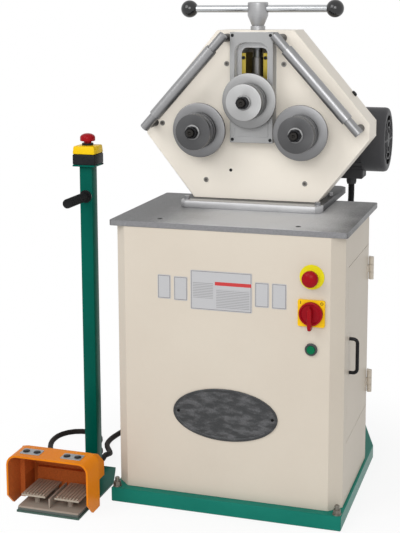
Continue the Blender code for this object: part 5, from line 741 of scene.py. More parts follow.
POINTER_OUTLINE = (
    (0, 0.0205), (0.0050, 0.0130), (0.0056, -0.0230), (0.0040, -0.0360), (0, -0.0375),
    (-0.0040, -0.0360), (-0.0056, -0.0230), (-0.0050, 0.0130))
POINTER_LEVELS = ((1.0, 0.0060), (1.0, 0.0215), (0.90, 0.0240), (0.72, 0.0252))
MUSHROOM_RADIUS = 0.0197
MUSHROOM_STEM = ((0, -0.010), (0.010, -0.010), (0.010, 0.0001), (0.0180, 0), (0.0192, 0.0006),
                 (MUSHROOM_RADIUS, 0.0020))
DOME_FOOT = 0.009
DOME_RISE = 0.011
DOME_STEPS = 12
BEZEL_PROFILE = (
    (0.0138, 0.006), (0.0146, 0.0055), (0.0150, 0.0040), (0.0150, 0), (0.0105, 0),
    (0.0105, 0.0052), (0.0112, 0.006))
START_PROFILE = (
    (0, 0.0040), (0.0101, 0.0040), (0.0101, 0.0072), (0.0096, 0.0081), (0.0088, 0.0085),
    (0.0060, 0.0082), (0, 0.0080))
MARK_FACE = CONTROLS_FACE - 0.006
MARK_SHIFT = 0.0255
ZERO_PROFILE = ((0.0036, -0.0001), (0.0036, 0.0002), (0.0022, 0.0002), (0.0022, -0.0001))
ONE_SIZE = (0.0014, 0.0066, 0.0002)


def stand_in(obj, *nodes):
    """Show a finer piece in place of carried-over ones."""
    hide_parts(*nodes)
    return obj


def pointer(shrink, height):
    """The outline of the switch's grip: a point above, straight sides and a narrow tip."""
    return [(x * shrink, y * (0.6 + 0.4 * shrink), height) for x, y in POINTER_OUTLINE]


def mushroom(name, place, facing, body, node):
    """A mushroom head with a dished top edge, on its stem."""
    dome = [(MUSHROOM_RADIUS * math.cos(t), DOME_FOOT + DOME_RISE * math.sin(t))
            for t in (math.pi / 2 * step / DOME_STEPS for step in range(DOME_STEPS))]
    profile = [*MUSHROOM_STEM, *dome, (0, DOME_FOOT + DOME_RISE)]
    stand_in(turned(name, profile, signal_red, place, facing, body), node)


dress(moulded("disc_yellow", SIGNAL_YELLOW, 0.42), "estop_collar")
dress(moulded("switch_plate_yellow", PLATE_YELLOW, 0.36), "main_switch_plate")
signal_red = moulded("signal_red", SIGNAL_RED, 0.26, spread=10)
switch_red = moulded("signal_red_deep", SWITCH_RED, 0.30, spread=10)
stand_in(turned("switch_disc", SWITCH_DISC_PROFILE, switch_red, SWITCH_PLACE, body="switch_handle"),
         "main_switch_handle")
skin("switch_grip", [pointer(*level) for level in POINTER_LEVELS], signal_red, SWITCH_PLACE,
     body="switch_handle")
mushroom("stop_mushroom_head", STOP_PLACE, FORWARD, "stop_mushroom", "estop_button")
stand_in(turned("start_bezel_ring", BEZEL_PROFILE, moulded("bezel_grey", BEZEL_GREY, 0.32),
                START_PLACE, ring=True), "start_button_bezel")
stand_in(turned("start_button_cap", START_PROFILE, moulded("start_green", START_GREEN, 0.28),
                START_PLACE, body="start_push"), "start_button")
mark_black = moulded("mark_black", MARK_BLACK, 0.5)
mark_height = SWITCH_PLACE[2] + MARK_SHIFT
turned("switch_mark_zero", ZERO_PROFILE, mark_black,
       (CONTROLS_X + MARK_SHIFT, MARK_FACE, mark_height), ring=True, count=36)
slab("switch_mark_one", ONE_SIZE, 0.0002, 0.00005, mark_black,
     (CONTROLS_X - MARK_SHIFT, MARK_FACE, mark_height), foot=-0.0001)


# Table
# A planed steel table plate, oiled and blotched grey, with a painted highlight that makes it
# brightest near its middle; darker on its front edge, with two flush socket screws in front.
UPWARD = (0, 0, 1)
TABLE_TOP = 0.7243
TABLE_FRONT = FRONT - 0.0016
TABLE_GREY = (136, 136, 137)
TABLE_DARKER = -58
TABLE_LIGHTER = 72
TABLE_WORN = (196, 198, 200)
TABLE_EDGE_GREY = (122, 122, 124)
TABLE_SPECK = 0.0016
TABLE_BLOTCH = 0.09
TABLE_MARKS = (0.0012, 0.25, 0.25)
TABLE_EDGE = 0.0010
# The table's colour is lighter round x = 0.06: a painted highlight where the lamps' reflection falls
# on the top.
TABLE_PAINTED_HIGHLIGHT_X = 0.06
TABLE_PAINTED_HIGHLIGHT_FADE = (0.06, 0.30)
TABLE_SCREWS = ((-0.182, -0.255), (0.170, -0.260))
TABLE_SCREW = (0.0065, 0.0008, 0.0030)
OXIDE_BLACK = (38, 38, 40)

table_coat = Coat("table_steel", metallic=0.35)
speck = table_coat.noise(TABLE_SPECK, detail=3.0)
blotch = table_coat.noise(TABLE_BLOTCH, detail=4.0)
planed = table_coat.noise(TABLE_MARKS, detail=2.0)
edge, rounded = table_coat.edge(TABLE_EDGE)
# middle is the painted highlight: 1 near the table's middle, fading towards its ends.
middle = 1 - abs(table_coat.along("X") - TABLE_PAINTED_HIGHLIGHT_X).sharpen(*TABLE_PAINTED_HIGHLIGHT_FADE)
tone = speck * 0.45 + blotch * 0.20 + planed * 0.10 + middle * 0.40 - 0.05
grey = table_coat.mix(tone.sharpen(0.25, 0.75), lifted(TABLE_GREY, TABLE_DARKER),
                      lifted(TABLE_GREY, TABLE_LIGHTER))
table_coat.finish(table_coat.mix(edge * 0.7, grey, screen(*TABLE_WORN)),
                  0.50 + (blotch - 0.5) * 0.25, speck * 0.00001 + planed * 0.000004, rounded)
dress(table_coat.short_of("Y", TABLE_FRONT, TABLE_EDGE_GREY, 0.5, 0.2), "table_plate")
black_oxide = metal("black_oxide", OXIDE_BLACK, 0.42, 0.0010, spread=6, metallic=0.85)


def socket_screw(name, size, place, facing=FORWARD, coat=black_oxide):
    """A screw head with a hexagon socket, by its radius, height and socket radius."""
    radius, height, socket = size
    edge = radius * 0.12
    turned(name, [
        (0, 0.0002), (socket, 0.0002, socket), (socket, height - 0.0003, socket),
        (socket * 1.08, height, socket * 1.08), (radius - edge, height), (radius, height - edge),
        (radius, -0.0002), (0, -0.0002)], coat, place, facing)


def hexagon_bolt(name, size, place, facing):
    """A hexagon bolt head with chamfered corners on a washer, by its corner radius and height."""
    corner, height = size
    flat = corner * math.cos(math.pi / 6)
    turned(name, [
        (0, height), (flat * 0.92, height, corner), (corner, height * 0.78, corner),
        (corner, 0.0012, corner), (corner * 1.12, 0.0012), (corner * 1.16, 0.0008),
        (corner * 1.16, -0.0002), (0, -0.0002)], black_oxide, place, facing)


for number, (x, y) in enumerate(TABLE_SCREWS):
    socket_screw(f"table_screw_{number}", TABLE_SCREW, (x, y, TABLE_TOP), UPWARD)


# Head
# A bolted base plate, a thick front plate and a welded housing in the cabinet's cream. Socket
# screws hold the front plate, black bolts hold the rear bearing caps, and bright steel bolts hold the
# base.
HEAD_BASE_TOP = 0.7427
HEAD_BASE_DARK = -0.054
HEAD_FACE = -0.027
HEAD_REAR = 0.0791
HEAD_SCREWS = ((0.076, 1.0969), (0.133, 0.7909), (0.254, 0.9379))
HEAD_SCREW = (0.0068, 0.0016, 0.0036)
# The head's cream is the cabinet's cream painted lighter: painted light on the front plate and
# housing, which sit in the rolls' shade.
HEAD_CREAM_PAINTED_LIGHTER = (247, 240, 228)
HEAD_CREAM_PAINTED_LIGHTER_CLOUD = (241, 233, 220)
BASE_GREY = (182, 182, 183)
BASE_SHADED = (66, 66, 68)
BASE_BOLTS = (140, 140, 142)
CAP_GREY = (92, 93, 94)
CAP_SHADE = (84, 86, 88)
SCREW_GREY = (140, 138, 134)
SOCKET_PAINTED_SHADE = (78, 74, 68)
HOLE_PAINTED_SHADE_PLACE = (-0.065, HEAD_FACE, 0.819)
HOLE_PAINTED_SHADE_PROFILE = ((0, 0.0003), (0.0030, 0.0003), (0.0034, 0.0007), (0.0042, 0.0007),
                (0.0042, -0.0002), (0, -0.0002))
PLUG_PLACE = (0.2410, 0.062, 1.0177)
PLUG_FACING = (0.765, 0, 0.644)
PLUG_PROFILE = ((0, 0.0062), (0.0050, 0.0060), (0.0070, 0.0048), (0.0078, 0.0026),
                (0.0080, -0.0002), (0, -0.0002))
ROLL_X = 0.1335
ROLL_Z = 0.9284
BEARING_CIRCLE = 0.040
BEARING_FRONT = -0.0373
BEARING_SCREW = (0.0042, 0.0040, 0.0020)
CAP_REAR = 0.089
CAP_BOLT = (0.0050, 0.0045)

base_steel = metal("base_steel", BASE_GREY, 0.42, (0.20, 0.0010, 0.20), metallic=0.5, spread=18)
base_steel.beyond("Y", HEAD_BASE_DARK, BASE_SHADED, 0.5)
dress(base_steel.beyond("Z", HEAD_BASE_TOP, BASE_BOLTS, 0.34, 0.8), "head_base_plate")
dress(enamel("head_cream_painted_lighter", HEAD_CREAM_PAINTED_LIGHTER, HEAD_CREAM_PAINTED_LIGHTER_CLOUD), "head_front_plate")
housing_cream_painted_lighter = enamel("housing_cream_painted_lighter", HEAD_CREAM_PAINTED_LIGHTER, HEAD_CREAM_PAINTED_LIGHTER_CLOUD)
dress(housing_cream_painted_lighter.beyond("Y", HEAD_REAR, CAP_GREY, 0.5, 0.3), "head_housing")
screw_steel = metal("screw_steel", SCREW_GREY, 0.34, 0.0010, metallic=0.9)
# The screws' sockets are painted dark brown: painted shade in the recess.
screw_steel.patch(screw_steel.radius() < HEAD_SCREW[2], SOCKET_PAINTED_SHADE, 0.6)
for number, (x, z) in enumerate(HEAD_SCREWS):
    for side, word in SIDES:
        socket_screw(f"head_screw_{number}_{word}", HEAD_SCREW, (side * x, HEAD_FACE, z),
                     coat=screw_steel)
# A thin black ring and disc sit on the front plate in place of a threaded hole: painted shade of the
# hole.
turned("head_threaded_hole_painted_shade", HOLE_PAINTED_SHADE_PROFILE, black_oxide, HOLE_PAINTED_SHADE_PLACE, count=36)
turned("head_side_plug", PLUG_PROFILE, nylon, PLUG_PLACE, PLUG_FACING, count=36)
cast_paint = enamel("cast_grey", CAP_GREY, CAP_SHADE, roughness=0.5, peel=0.00006,
                    peel_size=0.0016)
dress(cast_paint, "bearing_housing_left", "bearing_housing_right")
for side, word in SIDES:
    for number in range(4):
        angle = math.tau * (number + 0.5) / 4
        x = side * ROLL_X + BEARING_CIRCLE * math.cos(angle)
        z = ROLL_Z + BEARING_CIRCLE * math.sin(angle)
        socket_screw(f"bearing_screw_{word}_{number}", BEARING_SCREW, (x, BEARING_FRONT, z))
        hexagon_bolt(f"rear_cap_bolt_{word}_{number}", CAP_BOLT, (x, CAP_REAR, z), (0, 1, 0))


# Slide, gibs and frames
# A ground steel frame screwed over the guide, with a sill plate that closes its foot below the
# window, brass gibs beside the slide block, and the black screws that hold them.
SLIDE_FACE = -0.065
SLIDE_GROUND = (0.0009, 0.05, 0.12)
STEEL = (158, 158, 158)
WINDOW_HALF_WIDTH = 0.0448
WINDOW_FRONT = SLIDE_FACE + 0.0004
WINDOW_BOTTOM = 0.9126
# The window's inner walls are painted nearly white: painted light in place of the shade in the recess.
WINDOW_WALL_PAINTED_LIGHT = (222, 222, 222)
# The guide seen through the window is painted lighter than the frame's steel: painted light in the
# recess's shade.
GUIDE_STEEL_PAINTED_LIGHTER = (196, 196, 197)
DARK_STEEL = (104, 105, 107)
BOSS_STEEL = (98, 97, 97)
BRASS = (168, 150, 66)
BLOCK_HALF_WIDTH = 0.0229
BLOCK_FRONT = -0.0328
BLOCK_REAR = 0.0350
BLOCK_BOTTOM = 0.9564
BLOCK_TOP = 1.0550
BLOCK_SIDES = 44
SPINDLE_BORE = 0.0153
SPINDLE_Z = 1.0064
BOSS_HEIGHT = 0.0584
BOSS_PROFILE = ((0.0143, 0), (0.0143, 0.0572), (0.0137, BOSS_HEIGHT), (0.0103, BOSS_HEIGHT),
                (0.0103, 0))
SILL_SIZE = (0.0888, 0.0400, 0.0066)
SILL_PLACE = (0, -0.0584, 0.9326)
MOON_PLACE = (0, HEAD_FACE, 0.9126)
MOON_RADIUS = 0.0207
MOON_HALF_ANGLE = 39
MOON_HEIGHTS = (-0.0002, 0.0012)
SLIDE_SCREWS = ((0.050, 0.9049), (0.050, 1.1709))
SLIDE_SCREW = (0.0042, 0.0012, 0.0014)
GIB_X = 0.029
GIB_FACE = -0.0327
GIB_SCREW_Z = 1.1130
GIB_SCREW = (0.0045, 0.0040, 0.0020)


def block_loop(y, grow):
    """Points on the block's outline about the spindle, or on the bore where grow is 0."""
    high = BLOCK_TOP - SPINDLE_Z
    low = SPINDLE_Z - BLOCK_BOTTOM
    corners = [math.atan2(z, x) for x, z in ((BLOCK_HALF_WIDTH, high), (-BLOCK_HALF_WIDTH, high),
                                             (-BLOCK_HALF_WIDTH, -low), (BLOCK_HALF_WIDTH, -low))]
    turns = [math.tau * (number + 0.5) / BLOCK_SIDES - math.pi for number in range(BLOCK_SIDES)]
    loop = []
    for turn in sorted(turns + corners):
        c, s = math.cos(turn), math.sin(turn)
        sideways = BLOCK_HALF_WIDTH / max(abs(c), 1e-9)
        upright = (high if s > 0 else low) / max(abs(s), 1e-9)
        reach = min(sideways, upright) if grow else SPINDLE_BORE
        loop.append((reach * c, y, SPINDLE_Z + reach * s))
    return loop


ground_steel = metal("ground_steel", STEEL, 0.46, SLIDE_GROUND, metallic=0.35, spread=8)
# Painted light on the window's inner walls.
window_wall_painted_light = (abs(ground_steel.along("X")) < WINDOW_HALF_WIDTH) * (
    ground_steel.along("Y") > WINDOW_FRONT)
ground_steel.patch(window_wall_painted_light * (ground_steel.along("Z") > WINDOW_BOTTOM), WINDOW_WALL_PAINTED_LIGHT, 0.5, 0.2)
dress(ground_steel, "slide_frame")
dress(metal("guide_steel_painted_lighter", GUIDE_STEEL_PAINTED_LIGHTER, 0.46, SLIDE_GROUND, metallic=0.3, spread=8), "guide_frame")
dark_steel = metal("dark_steel", DARK_STEEL, 0.36, (0.02, 0.0008, 0.02), metallic=0.9)
dress(dark_steel, "press_screw", "drive_pinion")
boss_steel = metal("boss_steel", BOSS_STEEL, 0.42, (0.01, 0.01, 0.0006), metallic=0.9)
stand_in(skin("slide_block_body", [block_loop(BLOCK_FRONT, 1), block_loop(BLOCK_REAR, 1),
                                   block_loop(BLOCK_REAR, 0), block_loop(BLOCK_FRONT, 0)],
              dark_steel, (0, 0, 0), UPWARD, "slide", ring=True), "slide_block")
turned("slide_block_boss", BOSS_PROFILE, boss_steel, (0, 0, BLOCK_TOP), UPWARD, "slide", ring=True)
slab("slide_frame_sill", SILL_SIZE, 0.001, 0.0004, ground_steel, SILL_PLACE, foot=0.0)
dress(metal("gib_brass", BRASS, 0.32, (0.0008, 0.03, 0.08), spread=18), "brass_gib_left",
      "brass_gib_right")
moon = [(MOON_RADIUS * math.sin(t), -MOON_RADIUS * math.cos(t)) for t in
        (math.radians(MOON_HALF_ANGLE * (step / 8 - 1)) for step in range(17))]
skin("guide_bore_plug", [[(x, z, height) for x, z in moon] for height in MOON_HEIGHTS], cream,
     MOON_PLACE)
for number, (x, z) in enumerate(SLIDE_SCREWS):
    for side, word in SIDES:
        socket_screw(f"slide_frame_screw_{number}_{word}", SLIDE_SCREW, (side * x, SLIDE_FACE, z))
        if number == 0:
            socket_screw(f"gib_screw_{word}", GIB_SCREW, (side * GIB_X, GIB_FACE, GIB_SCREW_Z))


# Rolls
# Turned and hardened steel rolls: a flange disc, and a hub with two grooves. Each is held on its
# spindle by a bright washer and a blackened hexagon nut.
FLANGE_REAR = -0.0807
ROLL_FACE = -0.1390
NUT_FRONT = -0.1430
ROLL_PROFILE = (
    (0.0443, 0.0583), (0.0458, 0.0580), (0.0464, 0.0570), (0.0464, 0.0318), (0.0461, 0.0314),
    (0.0418, 0.0313), (0.0414, 0.0309), (0.0414, 0.0257), (0.0418, 0.0253), (0.0461, 0.0252),
    (0.0464, 0.0248), (0.0464, 0.0148), (0.0461, 0.0144), (0.0418, 0.0143), (0.0414, 0.0139),
    (0.0414, 0.0087), (0.0418, 0.0083), (0.0688, 0.0083), (0.0698, 0.0079), (0.0706, 0.0065),
    (0.0706, 0.0018), (0.0698, 0.0004), (0.0688, 0.0), (0.0153, 0.0), (0.0153, 0.0578),
    (0.0158, 0.0583))
NUT_CORNER = 0.0165
NUT_PROFILE = (
    (0.0103, 0.0003), (0.0190, 0.0003), (0.0195, 0.0007), (0.0195, 0.0029), (0.0190, 0.0033),
    (0.0157, 0.0034), (NUT_CORNER, 0.0042, NUT_CORNER), (NUT_CORNER, 0.0172, NUT_CORNER),
    (0.0143, 0.0193, NUT_CORNER), (0.0113, 0.0193), (0.0103, 0.0183))
HUB_FACE = 0.0579
HUB_FACE_RADIUS = 0.0462
WASHER_FRONT = 0.0035
ROLL_CUTS = 0.0007
ROLL_BANDS = 0.006
ROLL_STAIN = 0.03
ROLL_EDGE = 0.0006
# Roll edges are lifted this much: partly wear, partly a painted glint.
ROLL_WEAR_AND_GLINT = 50
LOWER_ROLL_GREY = (124, 124, 125)
# The hub faces have their own grey: painted shade on the lower rolls' faces, and a painted highlight
# on the top roll's.
LOWER_FACE_PAINTED_SHADE = (84, 84, 85)
TOP_ROLL_GREY = (140, 140, 140)
TOP_FACE_PAINTED_HIGHLIGHT = (170, 170, 170)
NUT_BLACK = (36, 36, 38)
WASHER_GREY = (124, 124, 124)
SPINDLE_GREY = (150, 150, 152)
SPINDLE_END = (40, 38, 36)


def turned_steel(name, colour, painted_face_tone, roughness, spread=12):
    """Lathe-turned steel: fine rings about the piece's own axis, which draw out the shine, and the
    hub's front face in a grey of its own, a painted reflection.
    """
    coat = Coat(name, metallic=0.9)
    coat.shader.inputs["Anisotropic"].default_value = 0.6
    radius = coat.radius()
    rings = []
    for size, detail in ((ROLL_CUTS, 3.0), (ROLL_BANDS, 2.0)):
        place = coat.node("CombineXYZ", {}, {0: radius / size, 1: coat.along("Z") / size})
        rings.append(coat.node("TexNoise", {}, {"Vector": place, "Scale": 1.0, "Detail": detail}))
    cut, band = rings
    stain = coat.noise(ROLL_STAIN, detail=4.0).sharpen(0.35, 0.8)
    edge, rounded = coat.edge(ROLL_EDGE)
    dark = lifted(colour, -spread)
    body = coat.mix(cut * 0.5 + band * 0.5, dark, lifted(colour, spread))
    body = coat.mix(stain * 0.25, body, dark)
    painted_face = coat.mix(cut * 0.4 + band * 0.6, lifted(painted_face_tone, -6), lifted(painted_face_tone, 6))
    body = coat.mix((coat.along("Z") > HUB_FACE) * (radius < HUB_FACE_RADIUS), body, painted_face)
    return coat.finish(coat.mix(edge * 0.6, body, lifted(colour, ROLL_WEAR_AND_GLINT)),
                       roughness + (band - 0.5) * 0.15, cut * 0.0000030, rounded)


lower_steel = turned_steel("lower_roll_steel", LOWER_ROLL_GREY, LOWER_FACE_PAINTED_SHADE, 0.34)
top_steel = turned_steel("top_roll_steel", TOP_ROLL_GREY, TOP_FACE_PAINTED_HIGHLIGHT, 0.36)
nut_black = metal("nut_black", NUT_BLACK, 0.36, 0.0010, spread=6, metallic=0.85)
nut_black.short_of("Z", WASHER_FRONT, WASHER_GREY, 0.5, 0.7)
spindle_steel = metal("spindle_steel", SPINDLE_GREY, 0.28, (0.01, 0.0006, 0.01), metallic=0.95)
spindle_steel.short_of("Y", NUT_FRONT, SPINDLE_END, 0.36, 0.8)
dress(spindle_steel, "lower_left_spindle", "lower_right_spindle", "top_spindle")
for word, x, z, body, coat in (("lower_left", -ROLL_X, ROLL_Z, "left_roll_set", lower_steel),
                               ("lower_right", ROLL_X, ROLL_Z, "right_roll_set", lower_steel),
                               ("top", 0.0, SPINDLE_Z, "top_roll_set", top_steel)):
    stand_in(turned(f"{word}_roll_disc", ROLL_PROFILE, coat, (x, FLANGE_REAR, z), body=body,
                    ring=True, count=120), f"{word}_roll")
    stand_in(turned(f"{word}_hexagon_nut", NUT_PROFILE, nut_black, (x, ROLL_FACE, z), body=body,
                    ring=True), "top_roll_nut" if word == "top" else f"{word}_nut")


# Screw handle
# A turned hub on the press screw, with a bright cross bar through it and a polished black phenolic
# ball on each end of the bar.
BALL_RADIUS = 0.0226
BALL_BORE = 0.0098
BALL_STEPS = 30
BALL_PLACES = (("left", -0.185, 1), ("right", 0.201, -1))
BALL_BLACK = (22, 22, 24)
BAR_Z = 1.2373
BAR_STEEL = (186, 188, 190)
HUB_STEEL = (166, 166, 167)

bright_steel = metal("bright_steel", BAR_STEEL, 0.22, (0.03, 0.0006, 0.0006), metallic=0.95)
dress(bright_steel, "handle_bar")
dress(metal("hub_steel", HUB_STEEL, 0.34, (0.02, 0.02, 0.0008), metallic=0.8), "handle_hub")
ball_black = moulded("ball_black", BALL_BLACK, 0.10, relief=0.000001, spread=3, sheen=0.6)
mouth = math.acos((BALL_BORE + 0.001) / BALL_RADIUS)
turns = [mouth - (mouth + math.pi / 2) * step / BALL_STEPS for step in range(BALL_STEPS)]
ball = [(0, 0), (BALL_BORE, 0), (BALL_BORE, BALL_RADIUS * math.sin(mouth)),
        *((BALL_RADIUS * math.cos(t), BALL_RADIUS * math.sin(t)) for t in turns),
        (0, -BALL_RADIUS)]
for word, x, towards in BALL_PLACES:
    stand_in(turned(f"ball_{word}", ball, ball_black, (x, 0, BAR_Z), (towards, 0, 0),
                    "screw_handle"), f"ball_knob_{word}")


# Guide bars
# Bright drawn bars on black studs, inclined along the head's shoulders, with ground sleeves
# that turn on them.
STUD_REAR = -0.078
GUIDE_BAR_GREY = (142, 142, 143)
GUIDE_STUD_BLACK = (36, 36, 38)
SLEEVE_GREY = (150, 150, 151)

bar_steel = metal("bar_steel", GUIDE_BAR_GREY, 0.36, 0.004, metallic=0.9, spread=6)
bar_steel.beyond("Y", STUD_REAR, GUIDE_STUD_BLACK, 0.42, 0.8)
dress(bar_steel, "guide_bar_left", "guide_bar_right")
dress(metal("sleeve_steel", SLEEVE_GREY, 0.32, 0.004, metallic=0.9, spread=6),
      "guide_sleeve_left", "guide_sleeve_right")


# Reducer and motor
# A cast worm reducer behind the head in dark machine grey, and a finned motor with a pressed fan
# cover, bolted to the reducer by its flange.
MOTOR_GREY = (80, 80, 82)
MOTOR_SHADE = (68, 68, 70)
FAN_COVER_GREY = (84, 84, 86)
FAN_COVER_SHADE = (72, 72, 74)
FAN_BLACK = (40, 40, 42)
FLANGE_X = 0.096
MOTOR_Y = 0.242
MOTOR_Z = 0.8804
FLANGE_CIRCLE = 0.059
FLANGE_BOLT = (0.0060, 0.0055)

motor_paint = enamel("motor_paint", MOTOR_GREY, MOTOR_SHADE, roughness=0.42, peel=0.00005,
                     peel_size=0.0018, worn=0.35)
dress(motor_paint, "gear_reducer", "motor_body")
dress(enamel("cover_black", FAN_COVER_GREY, FAN_COVER_SHADE, roughness=0.40), "motor_fan_cover")
dress(moulded("fan_black", FAN_BLACK, 0.45), "motor_fan")
for number in range(4):
    angle = math.tau * (number + 0.5) / 4
    place = (FLANGE_X, MOTOR_Y + FLANGE_CIRCLE * math.cos(angle),
             MOTOR_Z + FLANGE_CIRCLE * math.sin(angle))
    hexagon_bolt(f"motor_flange_bolt_{number}", FLANGE_BOLT, place, (-1, 0, 0))


# Pedestal
# A square steel post welded to a foot plate, in the plinth's green enamel painted darker as
# painted shade, with the cable glands low on its rear side.
POST_GREEN_PAINTED_DARKER = (2, 92, 78)
POST_GREEN_PAINTED_DARKER_CLOUD = (0, 80, 68)
POST_REAR = -0.1428
POST_X = -0.413
POST_Y = -0.1605
POST_WIDTH = 0.035
POST_CORNER = 0.0022
FOOT_TOP = 0.005
FOOT_DUSTY_Y = -0.40
FOOT_DUSTY = (72, 94, 86)
BEAD_RADIUS = 0.0026
BEAD_RISE = 0.0003

post_green_painted_darker = enamel("post_green_painted_darker", POST_GREEN_PAINTED_DARKER, POST_GREEN_PAINTED_DARKER_CLOUD, roughness=0.30, worn=0.15)
dress(post_green_painted_darker.short_of("Y", FOOT_DUSTY_Y, FOOT_DUSTY, 0.5), "pedestal_foot_plate")
post_coat = enamel("post_enamel", POST_GREEN_PAINTED_DARKER, POST_GREEN_PAINTED_DARKER_CLOUD, roughness=0.30, worn=0.15)
dress(post_coat.beyond("Y", POST_REAR, GLAND_BLACK, 0.5), "pedestal_post")
bead = []
for corner in round_corners(POST_WIDTH, POST_WIDTH, POST_CORNER, 0, steps=4):
    middle = Vector(corner)
    out = middle.normalized()
    bead.append([middle + BEAD_RADIUS * (out * math.cos(t) + Vector(UPWARD) * math.sin(t))
                 + BEAD_RISE * Vector(UPWARD)
                 for t in (math.tau * step / 10 for step in range(10))])
skin("post_weld_bead", bead, post_green_painted_darker, (POST_X, POST_Y, FOOT_TOP), UPWARD, ring=True)


# Stop station and grip
# A moulded box with a yellow cover and a red mushroom on top of the post, and a ribbed rubber
# grip screwed to the post's front.
STATION_BLACK = (32, 32, 34)
COVER_YELLOW = (238, 196, 20)
COVER_TOP = 0.8891
COVER_RING = (30, 30, 32)
STATION_BUTTON_Z = 0.9002
KNOCKOUT_PLACE = (-0.4068, -0.1915, 0.8525)
KNOCKOUT_PROFILE = ((0.0100, -0.0002), (0.0100, 0.0004), (0.0094, 0.0006), (0.0086, 0.0004),
                    (0.0086, -0.0002))
GRIP_BLACK = (28, 28, 29)
GRIP_WASHER = (176, 178, 180)
GRIP_WASHER_FRONT = 0.0022
GRIP_PLACE = (POST_X, -0.1783, 0.757)
GRIP_LENGTH = 0.122
GRIP_RIBS = 9
GRIP_RIB_PITCH = 0.012
GRIP_FLANGE = ((0, 0), (0.0165, 0), (0.0165, 0.0045), (0.0160, 0.0056), (0.0150, 0.0060))
GRIP_RIB = ((0.06, 0.0108), (0.16, 0.0119), (0.30, 0.0122), (0.76, 0.0122), (0.90, 0.0119),
            (0.99, 0.0108))
GRIP_TIP = ((0.0112, 0.0072), (0.0121, 0.0050), (0.0118, 0.0022), (0.0100, 0.0006), (0, 0))

dress(moulded("station_black", STATION_BLACK, 0.42), "station_box")
cover_yellow = moulded("cover_yellow", COVER_YELLOW, 0.34)
dress(cover_yellow.beyond("Z", COVER_TOP, COVER_RING, 0.35), "station_cover")
mushroom("station_mushroom_head", (POST_X, POST_Y, STATION_BUTTON_Z), UPWARD, "station_mushroom",
         "station_button")
turned("station_knockout", KNOCKOUT_PROFILE, nylon, KNOCKOUT_PLACE, ring=True, count=48)
grip_rubber = rubber("grip_rubber", GRIP_BLACK)
grip_rubber.short_of("Z", GRIP_WASHER_FRONT, GRIP_WASHER, 0.3, 1.0)
grip = [*GRIP_FLANGE,
        *((radius, GRIP_FLANGE[-1][1] + GRIP_RIB_PITCH * (rib + share))
          for rib in range(GRIP_RIBS) for share, radius in GRIP_RIB),
        *((radius, GRIP_LENGTH - back) for radius, back in GRIP_TIP)]
stand_in(turned("ribbed_grip", grip, grip_rubber, GRIP_PLACE), "hand_grip")


# Foot pedal
# Two cast treadles on a base plate under a moulded orange hood that is open in front and painted
# darker inside as painted shade, with two riveted plates and their caps on its top.
GUARD_ORANGE = (234, 140, 26)
GUARD_SHADE = (220, 122, 18)
# Inside the hood the orange is painted darker: painted shade inside the hood, on its two linings and
# on the pedal base's upright.
GUARD_INSIDE_PAINTED_SHADE = (188, 98, 46)
GUARD_INSIDE_PAINTED_SHADE_CLOUD = (172, 86, 38)
GUARD_REAR = -0.3815
GUARD_HALF_WIDTH = 0.110
GUARD_CORNER = 0.026
GUARD_TOP = 0.146
GUARD_INNER_CORNER = GUARD_CORNER - 0.0045
HUMP_HALF_WIDTH = 0.0945
HUMP_TOP = 0.1315
HUMP_REAR = -0.3255
HUMP_SLOPE = 0.895
HUMP_REACH = -0.1912
LININGS = (("return", (0.0128, 0.060, 0.0018), 0.0006, (-0.5012, -0.3266, 0.046), FORWARD),
           ("curtain", (0.0018, 0.058, 0.060), 0.0004, (-0.5086, -0.3560, 0.016), UPWARD))
PEDAL_BASE_GREY = (168, 156, 144)
PEDAL_BASE_SHADE = (150, 138, 126)
PEDAL_FLOOR_GREY = (92, 98, 94)
PEDAL_FLOOR_TOP = 0.0118
PEDAL_UPRIGHT_FRONT = -0.3400
PEDAL_UPRIGHT_FOOT = 0.0156
PEDAL_GLAND_FRONT = -0.3272
TREADLE_GREY = (170, 159, 144)
TREADLE_TOP = 0.0430
TREADLES = (("left", -0.458), ("right", -0.368))
TREADLE_RIBS = 7
TREADLE_RIB_PITCH = 0.0086
TREADLE_RIB = (0.0044, 0.088, 0.0014)
TREADLE_MIDDLE_Y = -0.390
HOOD_PLATE = (0.054, 0.034, 0.0012)
HOOD_PLATE_GREY = (150, 152, 154)
HOOD_PLATE_X = 0.055
HOOD_PLATE_Y = -0.420
HOOD_CAP_SHIFT = 0.0145
HOOD_CAP_PROFILE = ((0, 0.0026), (0.0062, 0.0026), (0.0085, 0.0018), (0.0090, 0.0006),
                    (0.0090, 0), (0, 0))

guard_coat = enamel("guard_orange", GUARD_ORANGE, GUARD_SHADE, roughness=0.34, worn=0.2)
along_y = guard_coat.along("Y")
along_z = guard_coat.along("Z")
side_reach = abs(guard_coat.along("X") - POST_X)
past_side = (side_reach - (GUARD_HALF_WIDTH - GUARD_CORNER)).largest(0.0)
past_top = (along_z - (GUARD_TOP - GUARD_CORNER)).largest(0.0)
hood_painted_shade = (past_side * past_side + past_top * past_top) < GUARD_INNER_CORNER ** 2
hood_painted_shade = hood_painted_shade * (along_y < GUARD_REAR)
hump_painted_shade = (side_reach < HUMP_HALF_WIDTH) * (along_z < HUMP_TOP)
hump_painted_shade = hump_painted_shade * (along_z + along_y * HUMP_SLOPE < HUMP_REACH)
hump_painted_shade = hump_painted_shade * (along_y < HUMP_REAR) * (along_y > GUARD_REAR)
guard_coat.patch(hood_painted_shade + hump_painted_shade, GUARD_INSIDE_PAINTED_SHADE, 0.5)
dress(guard_coat, "pedal_guard")
